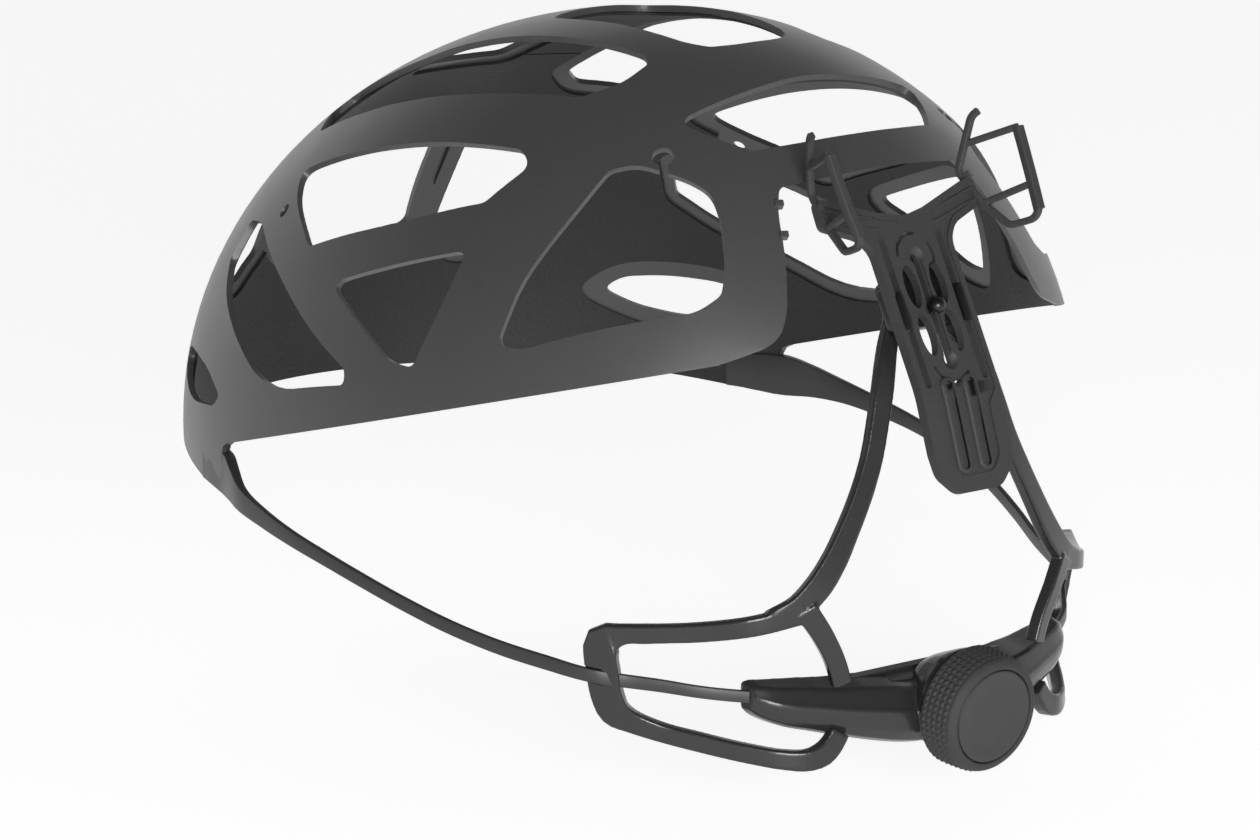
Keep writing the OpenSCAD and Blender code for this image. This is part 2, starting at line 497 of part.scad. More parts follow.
// drive: pinion on the spindle, one toothed belt end above it and one below
module pinion_2d() {
  m = gear_module;
  polygon([for (i = [0:teeth - 1], q = [[-0.3, -1.1], [-0.21, -0.35], [-0.1, 0.8], [0.1, 0.8], [0.21, -0.35], [0.3, -1.1]])
    let (t = (i + q[0] * (1 - backlash * 0.3 / m)) * 360 / teeth) (pitch_r + q[1] * m) * [cos(t), sin(t)]]);
}
rack_z = -11.3;
rack_t = 3.1;
// toothed strip with a web out to the centre line, where the belt end joins
module rack(side) {
  m = gear_module;
  p = PI * m;
  root = -pitch_r - 1.05 * m - backlash / 2;
  tip = -pitch_r + 0.8 * m;
  back = -cavity_y + 0.2;
  translate([0, 0, rack_z]) linear_extrude(rack_t)
    polygon(concat([[-drive_x, back], [web_x, back], [web_x, -1.25], [arm_end, -1.25], [arm_end, 1.25],
      [web_x - 1.2, 1.25], [web_x - 1.2, root]],
      [for (i = [5:-1:-6], q = [[0.3, root], [0.115, tip], [-0.115, tip], [-0.3, root]])
        [(i + 0.5 + q[0]) * p - sign(q[0]) * backlash / 4, q[1]]],
      [[-drive_x, root]]));
}
module left_rack() color(col_shell) place() on_dial() rack(1);
module right_rack() color(col_shell) place() on_dial() rotate(180) rack(1);
module drive_spindle() color(col_matte) place() on_dial() difference() {
  union() {
    translate([0, 0, -13.2]) cylinder(h = 3, r = spindle_r, $fn = 48);
    translate([0, 0, rack_z]) linear_extrude(rack_t + 0.2) rotate(90) pinion_2d();
    translate([0, 0, rack_z + rack_t + 0.08]) cylinder(h = 9.52, r = 3, $fn = 48);
  }
  translate([0, 0, -14]) cylinder(h = 5, r = 0.7, $fn = 24);
}
module spindle_screw() color([0.5, 0.5, 0.52]) place() on_dial() difference() {
  union() {
    translate([0, 0, -14.7]) cylinder(h = 1.2, r = 2.4, $fn = 32);
    translate([0, 0, -13.6]) cylinder(h = 4.4, r = 0.68, $fn = 32);
  }
  translate([0, 0, -15]) cylinder(h = 0.9, r = 0.9, $fn = 6);
}

// dial: core with spindle socket, knurled grip, dished cap
core_r = dial_dia / 2 - 1.9;
module dial_core() color(col_matte) place() on_dial() difference() {
  translate([0, 0, 0.3]) cylinder(h = dial_depth - 1.4, r = core_r, $fn = 72);
  translate([0, 0, -1]) cylinder(h = 2.4, r = 3.02, $fn = 48);
  translate([0, 0, -0.2]) difference() { cylinder(h = 2.6, r = core_r - 1.2, $fn = 64); cylinder(h = 4, r = 4.6, $fn = 48); }
}
module dial_grip() {
  n = knurl_count * 2;
  rows = 7;
  z0 = 0.3;
  z1 = dial_depth + 0.3;
  function rad(i, j) = dial_dia / 2 - 0.9 * pow(j / (rows - 1), 1.6)
    - ((i + j) % 2 == 0 && j > 0 && j < rows - 1 ? 0 : 0.62) - (j == 0 || j == rows - 1 ? 0.3 : 0);
  pts = concat(
    [for (j = [0:rows - 1], i = [0:n - 1]) let (t = i * 360 / n, r = rad(i, j))
      [r * cos(t), r * sin(t), z0 + (z1 - z0) * j / (rows - 1)]],
    [for (j = [0:1], i = [0:n - 1]) let (t = i * 360 / n, r = core_r + 0.04)
      [r * cos(t), r * sin(t), j == 0 ? z0 : z1 - 0.3]]);
  k = rows * n;
  function g(i, j) = j * n + (i % n);
  faces = concat(
    [for (j = [0:rows - 2], i = [0:n - 1]) (i + j) % 2 == 0 ? [g(i, j), g(i, j + 1), g(i + 1, j)]
      : [g(i, j), g(i, j + 1), g(i + 1, j + 1)]],
    [for (j = [0:rows - 2], i = [0:n - 1]) (i + j) % 2 == 0 ? [g(i + 1, j), g(i, j + 1), g(i + 1, j + 1)]
      : [g(i, j), g(i + 1, j + 1), g(i + 1, j)]],
    [for (i = [0:n - 1]) [k + i, g(i, 0), g(i + 1, 0), k + (i + 1) % n]],
    [for (i = [0:n - 1]) [k + i, k + (i + 1) % n, k + n + (i + 1) % n, k + n + i]],
    [for (i = [0:n - 1]) [k + n + i, k + n + (i + 1) % n, g(i + 1, rows - 1), g(i, rows - 1)]]);
  color(col_matte) place() on_dial() polyhedron(pts, faces, convexity = 6);
}
module dial_cap() color(col_matte) place() on_dial() translate([0, 0, dial_depth - 1.08]) rotate_extrude($fn = 72)
  polygon([[0, 0], [core_r - 0.1, 0], [core_r - 0.1, 1.1], [core_r - 0.6, 1.7], [core_r - 1.6, 1.7],
    [core_r - 2.5, 1.1], [core_r - 4, 0.8], [0, 0.7]]);

liner_shell();
brow_lining();
left_lining();
right_lining();
crown_lining();
left_belt();
right_belt();
rear_yoke();
left_anchor_cage();
right_anchor_cage();
detent_slider();
cradle_frame();
dial_housing();
housing_base();
click_ring();
left_rack();
right_rack();
drive_spindle();
click_spring();
dial_core();
dial_grip();
dial_cap();
spindle_screw();
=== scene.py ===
# Looks of the helmet's inner liner shell, yoke, sliding cradle and dial.
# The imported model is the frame: row frame, metres, +Z up, brow towards -Y.
import math

import bmesh
import bpy
from mathutils import Matrix, Vector


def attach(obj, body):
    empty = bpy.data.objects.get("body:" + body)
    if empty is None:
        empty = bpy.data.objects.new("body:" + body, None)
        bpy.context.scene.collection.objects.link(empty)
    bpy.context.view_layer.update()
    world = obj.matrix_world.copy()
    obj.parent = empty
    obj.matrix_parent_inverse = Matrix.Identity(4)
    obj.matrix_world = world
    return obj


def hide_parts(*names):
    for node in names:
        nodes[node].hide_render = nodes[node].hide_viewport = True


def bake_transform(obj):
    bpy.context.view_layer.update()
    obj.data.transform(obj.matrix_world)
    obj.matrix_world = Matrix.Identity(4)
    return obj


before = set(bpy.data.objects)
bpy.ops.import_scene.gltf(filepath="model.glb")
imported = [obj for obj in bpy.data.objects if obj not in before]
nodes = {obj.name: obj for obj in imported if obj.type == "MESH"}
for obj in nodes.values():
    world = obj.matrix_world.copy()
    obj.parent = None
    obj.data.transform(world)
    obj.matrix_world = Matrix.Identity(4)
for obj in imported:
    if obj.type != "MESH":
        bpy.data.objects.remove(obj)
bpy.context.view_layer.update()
bpy.ops.object.select_all(action="DESELECT")

MM = 0.001
# shell of the source, in millimetres: half an ellipsoid, longer in front, whose crown leans back
HALF_WIDTH = 82.5
SHELL_LENGTH = 203.6
FRONT_SHARE = 0.542
FRONT = SHELL_LENGTH * FRONT_SHARE
REAR = SHELL_LENGTH - FRONT
CENTRE_BACK = 4.6
CROWN_BACK = 7.7
CROWN = 85.8
WALL = 1.3
# from the photograph's frame to the row frame
MID_Y = 1.8545
LIFT = 52.9282
# lining: its gap behind the shell, its thickness, and how far its edges lie back from the vents'
LINING_GAP = 0.12
LINING_THICK = 0.55
LINING_BACK = 3.6
# half the inside angle above which a corner of a vent is only a bend of its edge
SOFT_TURN = math.radians(70)
# points closer than this are one point, and steps of the search for the dome
SAME_POINT = 0.02
HALVINGS = 40


def in_frame(p):
    """A point of the photograph's frame in millimetres, in the row frame in metres."""
    return Vector((p[0] * MM, (p[1] - MID_Y) * MM, (p[2] + LIFT) * MM))


def dome(azimuth, elevation, off=0.0):
    """Point of the shell's dome in millimetres."""
    a, e = math.radians(azimuth), math.radians(elevation)
    depth = (FRONT if math.cos(a) > 0 else REAR) + off
    return Vector((
        (HALF_WIDTH + off) * math.cos(e) * math.sin(a),
        -depth * math.cos(e) * math.cos(a) + CENTRE_BACK + CROWN_BACK * math.sin(e),
        (CROWN + off) * math.sin(e),
    ))


def dome_shares(p):
    """A point's place as shares of the dome's half axes."""
    z = p[2] / CROWN
    y = p[1] - CENTRE_BACK - CROWN_BACK * z
    y /= FRONT if y < 0 else REAR
    return p[0] / HALF_WIDTH, y, z


def dome_place(p):
    """Azimuth and elevation of a point on the dome."""
    x, y, z = dome_shares(p)
    return math.degrees(math.atan2(x, -y)), math.degrees(math.atan2(z, math.hypot(x, y)))


def dome_level(p):
    """Nought on the dome, more outside it and less inside."""
    return math.hypot(*dome_shares(p)) - 1


def only(piece):
    """Selects one piece and makes it the active one."""
    bpy.ops.object.select_all(action="DESELECT")
    piece.select_set(True)
    bpy.context.view_layer.objects.active = piece
    return piece


def modify(piece, kind, **settings):
    """Adds a modifier, sets it up and applies it."""
    only(piece)
    modifier = piece.modifiers.new(kind.title(), kind)
    for key, value in settings.items():
        setattr(modifier, key, value)
    bpy.ops.object.modifier_apply(modifier=modifier.name)
    return piece


def outward(piece):
    """Turns every face outwards."""
    only(piece)
    bpy.ops.object.mode_set(mode="EDIT")
    bpy.ops.mesh.select_all(action="SELECT")
    bpy.ops.mesh.normals_make_consistent(inside=False)
    bpy.ops.object.mode_set(mode="OBJECT")
    return piece


def drawn_through(name, rings):
    """A ring of points, extruded from station to station, with both ends closed."""
    bpy.ops.object.select_all(action="DESELECT")
    bpy.ops.mesh.primitive_circle_add(vertices=len(rings[0]), radius=MM, fill_type="NGON")
    piece = bpy.context.object
    piece.name = piece.data.name = name
    for vertex, place in zip(piece.data.vertices, rings[0]):
        vertex.co = place
    bpy.ops.object.mode_set(mode="EDIT")
    mesh = bmesh.from_edit_mesh(piece.data)
    mesh.verts.ensure_lookup_table()
    for before, ring in zip(rings, rings[1:]):
        bpy.ops.mesh.extrude_region_move()
        mesh = bmesh.from_edit_mesh(piece.data)
        moved = [v for v in mesh.verts if v.select]
        order = sorted(moved, key=lambda v: v.index if v.index >= 0 else v.index + 10 ** 9)
        places = list(before)
        for vertex in order:
            k = min(range(len(places)), key=lambda i: (places[i] - vertex.co).length_squared)
            vertex.co = ring[k]
        bmesh.update_edit_mesh(piece.data)
    bpy.ops.object.mode_set(mode="OBJECT")
    return outward(piece)


# outlines of the vents on the wearer's left half, as azimuth and elevation
TEMPLE = [(57, 38), (63, 34.5), (74.5, 29.3), (90, 35.8), (104, 40.6), (109.5, 47),
          (106, 49.6), (98, 49.6), (86, 48.6), (73, 45.4), (62, 40.8)]
SIDE = [(82.6, 25.6), (104.8, 33.6), (103.5, 25), (101.5, 17), (97.5, 17.2)]
CORNER_FRONT = [(51.6, 28.6), (52.7, 22.6), (58, 18.6), (66, 14.6), (77, 9.2), (90.5, 13),
                (90, 15), (82, 19), (74, 23.2), (64, 27.2), (57, 29.6)]
BROW = [(43.5, 6.5), (48, 4.2), (55, 2.8), (64, 4.2), (65.5, 6), (60, 8.6), (52, 9.2), (46, 8.6)]
CROWN_SIDE = [(46, 43), (34, 44.6), (31, 48), (35, 53), (41, 59), (43.5, 63.5), (56, 69.5), (76, 73),
              (105, 73.6), (126, 71), (128, 68.6), (122, 63.5), (112, 60), (89, 58.6), (67, 53.6), (56, 48.6)]
FRONT_VENT = [(18.5, 40), (19, 28), (18, 17), (22, 13), (33, 14), (36, 20), (31, 30), (25, 40)]
REAR_VENT = [(113.4, 21.4), (117, 21), (141, 27), (144.6, 29.4), (145.4, 33), (145.2, 40), (144, 44),
             (140, 46.2), (130, 48.6), (125, 47.4), (121, 41), (118, 36), (115, 30)]
BROW_MIDDLE = [(0, 41), (9, 41), (13, 33), (13.5, 18), (9, 15), (0, 14.6)]
CROWN_MIDDLE = [(0, 53), (12, 53.4), (14, 56), (22, 65), (0, 66.5)]
# the vent on top of the crown as seen from above, its half on the wearer's left
TOP = [(0, -10.6), (9.6, -10.6), (13, -8.4), (14, -3), (14.2, 12), (13.8, 24), (12.8, 31.6), (10.2, 35.8),
       (5, 37.4), (0, 37.6)]
NAPE = [(180, 64.6), (160, 62.6), (146, 59.4), (137.6, 56.2), (146, 53), (153.4, 50.8), (165, 51.8),
        (180, 52.3)]
# keyhole above the rear vent: its round hole, the foot of its slot, and half the slot's width
KEYHOLE = (135, 50)
KEYHOLE_RADIUS = 2.2
KEYHOLE_FOOT = (135.4, 46.6)
KEYHOLE_HALF_SLOT = 0.85
SMALL_HOLE = (62, 32.4)
SMALL_HOLE_RADIUS = 1.5
# reach of the cutters past the shell
VENT_DEPTH = 26
TOP_CUT = (60, 100)
NOTCH_CUT = (38, 140)
SIDE_CUT = 120
FAR = 150


def across(outline, middle=0):
    """A half outline and its mirror image, as one outline over the middle."""
    back = [(2 * middle - a, e) for a, e in reversed(outline)]
    return list(outline) + [p for p in back if abs(p[0] - middle) > 0.01]


def tangent_plane(azimuth, elevation):
    """A plane that touches the dome: its centre, its two directions and its normal."""
    centre = dome(azimuth, elevation)
    u = (dome(azimuth + 1, elevation) - dome(azimuth - 1, elevation)).normalized()
    w = (dome(azimuth, elevation + 1) - dome(azimuth, elevation - 1)).normalized()
    n = u.cross(w).normalized()
    return centre, u, n.cross(u), n


def moved_out(flat, distance):
    """A flat outline with every side moved outwards."""
    area = sum(a.x * b.y - a.y * b.x for a, b in zip(flat, flat[1:] + flat[:1]))
    turn = 1 if area > 0 else -1
    result = []
    for i, here in enumerate(flat):
        a = (here - flat[i - 1]).normalized()
        b = (flat[(i + 1) % len(flat)] - here).normalized()
        na, nb = Vector((a.y, -a.x)) * turn, Vector((b.y, -b.x)) * turn
        middle = (na + nb).normalized()
        result.append(here + middle * distance / max(middle.dot(na), 0.5))
    return result


def rounded(flat, radius, arc_steps=5, spacing=2.5):
    """A flat outline with its sides divided and its corners rounded, by one radius or one for each."""
    result = []
    count = len(flat)
    ends = []
    for i, here in enumerate(flat):
        a, b = flat[i - 1] - here, flat[(i + 1) % count] - here
        half = a.angle(b, math.pi) / 2
        own = radius[i] if isinstance(radius, list) else radius
        reach = own / max(math.tan(half), 0.05)
        if half > SOFT_TURN and not isinstance(radius, list):
            reach = max(a.length, b.length)
        reach = min(reach, 0.48 * a.length, 0.48 * b.length)
        ends.append((here + a.normalized() * reach, here, here + b.normalized() * reach))
    for i, (first, corner, last) in enumerate(ends):
        for k in range(arc_steps + 1):
            t = k / arc_steps
            result.append(first * (1 - t) ** 2 + corner * 2 * t * (1 - t) + last * t * t)
        start = ends[(i + 1) % count][0]
        parts = max(1, round((start - last).length / spacing))
        result += [last.lerp(start, k / parts) for k in range(1, parts)]
    return [p for i, p in enumerate(result) if (p - result[i - 1]).length > SAME_POINT]


def onto_dome(flat_point, plane):
    """Where the plane's normal through a flat point meets the dome, found by halving."""
    centre, u, v, n = plane
    low, high = -60.0, 16.0
    base = centre + u * flat_point.x + v * flat_point.y
    for _ in range(HALVINGS):
        middle = (low + high) / 2
        if dome_level(base + n * middle) > 0:
            high = middle
        else:
            low = middle
    return dome_place(base + n * low)


def vent_cutter(name, flat, plane):
    """A flat outline thrown onto the dome and drawn through its wall."""
    places = [onto_dome(p, plane) for p in flat]
    rings = [[in_frame(dome(a, e, off)) for a, e in places] for off in (-VENT_DEPTH, VENT_DEPTH)]
    cutter = drawn_through(name, rings)
    only(cutter)
    bpy.ops.object.mode_set(mode="EDIT")
    bpy.ops.mesh.select_all(action="SELECT")
    bpy.ops.mesh.quads_convert_to_tris()
    bpy.ops.object.mode_set(mode="OBJECT")
    return cutter


def flat_outline(outline, plane):
    """An outline of azimuths and elevations in a plane that touches the dome."""
    centre, u, v, _ = plane
    return [Vector(((dome(a, e) - centre).dot(u), (dome(a, e) - centre).dot(v))) for a, e in outline]


def circle(middle, radius, steps=24):
    return [middle + Vector((math.cos(t), math.sin(t))) * radius
            for t in (2 * math.pi * k / steps for k in range(steps))]


def vent_cutters(grow=0.0):
    """Cutters of every vent, widened for the lining."""
    made = []
    # name, outline, touching point of its plane, corner radius, share of the widening, on both sides
    for name, outline, place, radius, share, both in (
            ("temple", TEMPLE, (84, 42), 3.2, 1, True), ("side", SIDE, (98, 25), 1.9, 1, True),
            ("corner_front", CORNER_FRONT, (70, 20), 1.9, 0.7, True), ("brow", BROW, (54, 6), 1.9, 1, True),
            ("crown_side", CROWN_SIDE, (74, 61), 2.9, 1, True), ("front", FRONT_VENT, (26, 26), 2.9, 1, True),
            ("rear", REAR_VENT, (131, 36), 3.2, 1, True),
            ("brow_middle", across(BROW_MIDDLE), (0, 28), 3.2, 1, False),
            ("crown_middle", across(CROWN_MIDDLE), (0, 60), 3.2, 1, False),
            ("nape", across(NAPE, 180), (180, 58), 2.6, 1, False)):
        plane = tangent_plane(*place)
        flat = flat_outline(outline, plane)
        if grow:
            flat = moved_out(flat, grow * share)
        flat = rounded(flat, radius + grow * share)
        made.append((vent_cutter(name + "_cutter", flat, plane), both))
    plane = tangent_plane(*KEYHOLE)
    made.append((vent_cutter("keyhole_cutter", circle(Vector((0, 0)), KEYHOLE_RADIUS + grow), plane), True))
    low = flat_outline([KEYHOLE_FOOT], plane)[0]
    side = Vector((KEYHOLE_HALF_SLOT + grow, 0))
    slot = [-side, side, low + side, low - side]
    made.append((vent_cutter("slot_cutter", rounded(slot, 0.2, 2), plane), True))
    plane = tangent_plane(*SMALL_HOLE)
    hole = circle(Vector((0, 0)), SMALL_HOLE_RADIUS + grow)
    made.append((vent_cutter("small_hole_cutter", hole, plane), True))
    top = [Vector(p) for p in across(TOP)]
    if grow:
        top = moved_out(top, grow * 0.4)
    made.append((prism("top_cutter", [tuple(p) for p in rounded(top, 3.2)], "z", *TOP_CUT), False))
    return made


def prism(name, outline, direction, near, far):
    """A flat outline drawn along X from its side view, Y from its rear view or Z from above."""
    if direction == "x":
        rings = [[in_frame((d, a, b)) for a, b in outline] for d in (near, far)]
    elif direction == "z":
        rings = [[in_frame((a, b, d)) for a, b in outline] for d in (near, far)]
    else:
        rings = [[in_frame((a, d, b)) for a, b in outline] for d in (near, far)]
    return drawn_through(name, rings)


def below_rim(up=0.0):
    """Cutter of everything under the rim, which steps up behind the belts' roots."""
    side = [(-FAR, -6.6 + up), (-78, -6.8 + up), (-62, -8.4 + up), (-47, -10 + up), (-37.4, -10.6),
            (-37.4, -2), (-36.6, -0.6), (-34.6, 0.4), (-20, 4.2), (40, 19.7), (84, 31), (FAR, 40),
            (FAR, -80), (-FAR, -80)]
    return prism("rim_cutter", side, "x", -SIDE_CUT, SIDE_CUT)


def rear_notch(up=0.0):
    """Cutter of the rear opening between the two wings, seen from behind."""
    half = [(0, 62.4), (12, 61.8), (23.4, 60.4), (26.4, 56), (29.4, 47), (30.9, 42.8), (31.6, 40.5),
            (32.8, 37.5), (34.6, 34.5), (37.1, 32.6), (40.3, 31.4), (47, 29), (47, 10)]
    side = [Vector(p) for p in across(half)]
    if up:
        side = moved_out(side, up)
    return prism("notch_cutter", [tuple(p) for p in rounded(side, 3 + up)], "y", *NOTCH_CUT)


def cut_away(piece, cutter, both=False):
    """Cuts a piece with a cutter, and with its mirror image where both sides are asked for."""
    if both:
        copy = cutter.copy()
        copy.data = cutter.data.copy()
        bpy.context.scene.collection.objects.link(copy)
        copy.data.transform(Matrix.Diagonal((-1, 1, 1, 1)))
        outward(copy)
        only(cutter)
        copy.select_set(True)
        bpy.ops.object.join()
    modify(piece, "BOOLEAN", operation="DIFFERENCE", object=cutter, solver="EXACT")
    return piece


def clear_away(cutter):
    """Deletes a cutter after its use."""
    only(cutter)
    bpy.ops.object.delete()


def smooth(piece, angle=30):
    """Smooth shading, with edges sharper than the angle kept."""
    only(piece)
    bpy.ops.object.shade_smooth_by_angle(angle=math.radians(angle))
    return piece


# faces of the dome: round it, up it, and degrees a face of a patch
ROUND_FACES, UP_FACES = 144, 72
PATCH_STEP = 2.5


def dome_half(name, low, off):
    """The dome above one elevation, as an open surface."""
    bpy.ops.object.select_all(action="DESELECT")
    bpy.ops.mesh.primitive_uv_sphere_add(segments=ROUND_FACES, ring_count=UP_FACES, radius=1)
    piece = bpy.context.object
    piece.name = piece.data.name = name
    bpy.ops.object.mode_set(mode="EDIT")
    bpy.ops.mesh.select_all(action="SELECT")
    bpy.ops.mesh.bisect(plane_co=(0, 0, math.sin(math.radians(low))), plane_no=(0, 0, 1), clear_inner=True)
    bpy.ops.object.mode_set(mode="OBJECT")
    for vertex in piece.data.vertices:
        x, y, z = vertex.co
        place = math.degrees(math.atan2(x, -y)), math.degrees(math.asin(max(-1, min(1, z))))
        vertex.co = in_frame(dome(*place, off))
    return piece


def dome_part(name, azimuths, elevations, off):
    """A patch of the dome as an open surface."""
    across_steps = round((azimuths[1] - azimuths[0]) / PATCH_STEP)
    up_steps = round((elevations[1] - elevations[0]) / PATCH_STEP)
    bpy.ops.object.select_all(action="DESELECT")
    bpy.ops.mesh.primitive_grid_add(x_subdivisions=across_steps, y_subdivisions=up_steps, size=2)
    piece = bpy.context.object
    piece.name = piece.data.name = name
    for vertex in piece.data.vertices:
        u, v = (vertex.co.x + 1) / 2, (vertex.co.y + 1) / 2
        vertex.co = in_frame(dome(azimuths[0] + u * (azimuths[1] - azimuths[0]),
                                  elevations[0] + v * (elevations[1] - elevations[0]), off))
    return piece


# liner shell: the dome as a wall, cut by its rim, its notch and its vents
SHELL_LOW = -15
rim, notch, vents = below_rim(), rear_notch(), vent_cutters()
shell = dome_half("liner_shell_skin", SHELL_LOW, 0)
modify(shell, "SOLIDIFY", thickness=WALL * MM, offset=-1)
outward(shell)
for cutter in (rim, notch):
    cut_away(shell, cutter)
for cutter, both in vents:
    cut_away(shell, cutter, both)
for cutter in [rim, notch] + [c for c, _ in vents]:
    clear_away(cutter)
modify(shell, "BEVEL", width=0.2 * MM, segments=2, limit_method="ANGLE", angle_limit=math.radians(50))


def crisp(piece, angle=40):
    """Smooth faces whose normals follow the large faces, so that a small bevel shades only the edge."""
    smooth(piece, angle)
    return modify(piece, "WEIGHTED_NORMAL", keep_sharp=True, weight=90)


def bevelled(piece, width, segments=2, angle=50):
    """A small bevel on every edge sharper than the angle."""
    return modify(piece, "BEVEL", width=width * MM, segments=segments, limit_method="ANGLE",
                  angle_limit=math.radians(angle))


def joined(name, pieces):
    """Several pieces as one object."""
    bpy.ops.object.select_all(action="DESELECT")
    for piece in pieces:
        piece.select_set(True)
    bpy.context.view_layer.objects.active = pieces[0]
    if len(pieces) > 1:
        bpy.ops.object.join()
    pieces[0].name = pieces[0].data.name = name
    return pieces[0]


# small nubs on the upright edges of the notch
NUB_PLACES = ((155.6, 42.2), (155.3, 37.6), (-155.6, 42.2), (-155.3, 37.6))
NUB_HALF = (0.9, 0.7)
NUB_DEPTHS = (-1.1, 0.7)
nubs = []
for azimuth, elevation in NUB_PLACES:
    centre, u, v, n = tangent_plane(azimuth, elevation)
    corners = [Vector((a * NUB_HALF[0], b * NUB_HALF[1])) for a, b in ((-1, -1), (1, -1), (1, 1), (-1, 1))]
    outline = rounded(corners, 0.25, 2)
    rings = [[in_frame(centre + u * p.x + v * p.y + n * d) for p in outline] for d in NUB_DEPTHS]
    nubs.append(bevelled(drawn_through("nub", rings), 0.2))
shell = joined("liner_shell_skin", [shell] + nubs)
crisp(shell)

# linings: four thin panels behind the wall, parted by narrow seams, with their edges set back
BROW_EDGE, SIDE_EDGE, WING_EDGE = 63, 63.4, 153.4
LINING_UP = (-9, 54)
CROWN_EDGE = 54.4
LINING_RIM_UP = 0.2
inner = -WALL - LINING_GAP
linings = [dome_part("brow_lining_skin", (-BROW_EDGE, BROW_EDGE), LINING_UP, inner),
           dome_part("left_lining_skin", (SIDE_EDGE, WING_EDGE), LINING_UP, inner),
           dome_part("right_lining_skin", (-WING_EDGE, -SIDE_EDGE), LINING_UP, inner),
           dome_half("crown_lining_skin", CROWN_EDGE, inner)]
rim, notch, vents = below_rim(LINING_RIM_UP), rear_notch(LINING_BACK), vent_cutters(LINING_BACK)
for number, lining in enumerate(linings):
    modify(lining, "SOLIDIFY", thickness=LINING_THICK * MM, offset=-1)
    outward(lining)
    for cutter in (rim, notch):
        cut_away(lining, cutter)
    for cutter, both in vents:
        cut_away(lining, cutter, both and number == 0)
    bevelled(lining, 0.12, 1)
    crisp(lining)
for cutter in [rim, notch] + [c for c, _ in vents]:
    clear_away(cutter)

# belts, cradle and dial, in millimetres in the photograph's frame
BELT_THICK = 1.1
ROOT_THICK = 2.3
# where a belt starts to get thinner behind its root, and over what length
ROOT_END, ROOT_TAPER = -37, 22
ARM_THICK, LOOP_THICK = 2.6, 2.8
CAGE_ROD = 1.6
DIAL_TILT, TRACK_TILT = math.radians(8), math.radians(27.5)
KNOB_BACK = Vector((0, 99.3, -40.4))
TRACK_MID = Vector((0, 89.7, 36.8))
DIAL_RADIUS = 12.3
PLATE_BACK = 5.4
# stations of x, y, z and height or width
BELT = [(70.87, -49, -6.1, 7.4), (73.17, -43, -6.2, 7.8), (74.77, -38, -6.3, 8.6), (75.9, -35.4, -6.5, 8.4),
        (78.2, -31, -7.2, 6.9), (81, -25, -8.7, 5.1), (83, -15, -10.9, 3.9),
        (83.8, -5, -13.1, 3.2), (83.4, 5, -15.5, 2.9), (82, 15, -18.4, 2.8), (79.6, 25, -21.7, 2.8),
        (76.3, 35, -25, 2.8), (72.2, 44.6, -27.8, 2.8), (68, 54.4, -29.8, 2.8), (65.2, 60.6, -31, 2.7),
        (62.7, 63.8, -31.7, 2.7), (59.6, 65.8, -32.4, 2.6), (54.2, 71.4, -33.3, 2.5), (48.8, 77, -34.4, 2.4),
        (43.2, 81, -35.3, 2.4), (37, 84.8, -36, 2.4), (29.4, 87.6, -36.8, 2.4)]
ARM = [(2, 79.8, 41, 3.4), (3.4, 81.8, 37.2, 3.4), (5.6, 83.8, 33.4, 3.5), (8.4, 85.6, 30, 3.7),
       (11.3, 88, 26.8, 4), (13.4, 89.6, 22.6, 4.2), (15.5, 90.6, 16.6, 4.2), (17.9, 91.4, 9.6, 4.2),
       (21, 91.9, 3, 4.3), (24.7, 92, -3.6, 4.5), (28.5, 91.8, -9.8, 5), (31.8, 91.2, -14, 5.2),
       (35.6, 90, -17.4, 4.8), (40.6, 87.6, -19.7, 4)]
LOOP = [(34.6, 90.4, -18.6, 4), (43, 86.2, -20.5, 3.8), (50, 78.2, -22.1, 3.7), (56.5, 70.5, -22.8, 3.7),
        (60.1, 66.2, -23.2, 4.2), (62.2, 63.7, -24.6, 7), (62.3, 63.2, -27.6, 6.6), (61.6, 63.1, -31, 6.5),
        (60.7, 63.1, -35.3, 6.3), (59.3, 63.8, -38.9, 5.9), (56.6, 65.4, -41, 4.4), (53.4, 68, -42.7, 3.8),
        (47.2, 75.4, -45, 3.7), (41.2, 83, -46.8, 3.7), (37, 87.6, -47.7, 3.8), (32.6, 90.5, -47.9, 4.2),
        (30.1, 91.3, -47.1, 4.5), (28, 91.8, -45.2, 4.2), (26.6, 92, -43, 4)]
STRUT = [(34.4, 90.8, -17.8, 4.6), (31, 91.8, -23, 4.2), (27.2, 92, -30, 3.9), (26, 92, -33.6, 3.9)]
# housing: x, y, z, depth and height, from its mouth to the middle behind the dial
HOUSE = [(41.5, 82.2, -35.5, 4.2, 5.2), (40.7, 82.7, -35.8, 5.2, 6.4), (39, 83.8, -36.4, 6.4, 7.6),
         (36.4, 85, -37.1, 7.3, 8.7), (31, 87, -38, 8.4, 9.9), (25, 89, -39, 9.7, 11),
         (18.4, 90.8, -39.9, 11, 12.4), (13, 91.8, -40.7, 11.9, 12.9), (8.9, 92.1, -41.2, 12.3, 13),
         (0, 92.1, -41.4, 12.3, 12.8)]
# cage: from the hooked tip down, round the bottom and up the inner rod
CAGE = [(22.1, 78.4, 71.4), (21.4, 77.2, 70.2), (20.6, 76.2, 64.6), (19.5, 75.6, 59.2),
        (20.6, 81.8, 53.6), (21.8, 88, 49.9), (23.4, 93.2, 51.8), (23.8, 94.1, 53.8),
        (24.4, 91.6, 58.6), (24.9, 88, 66), (25, 86.6, 69)]


def on_dial(x, y, z):
    """A point of the dial's own frame: x across, y down, z out along its axis."""
    c, d = math.cos(DIAL_TILT), math.sin(DIAL_TILT)
    return KNOB_BACK + Vector((x, c * z - d * y, -c * y - d * z))


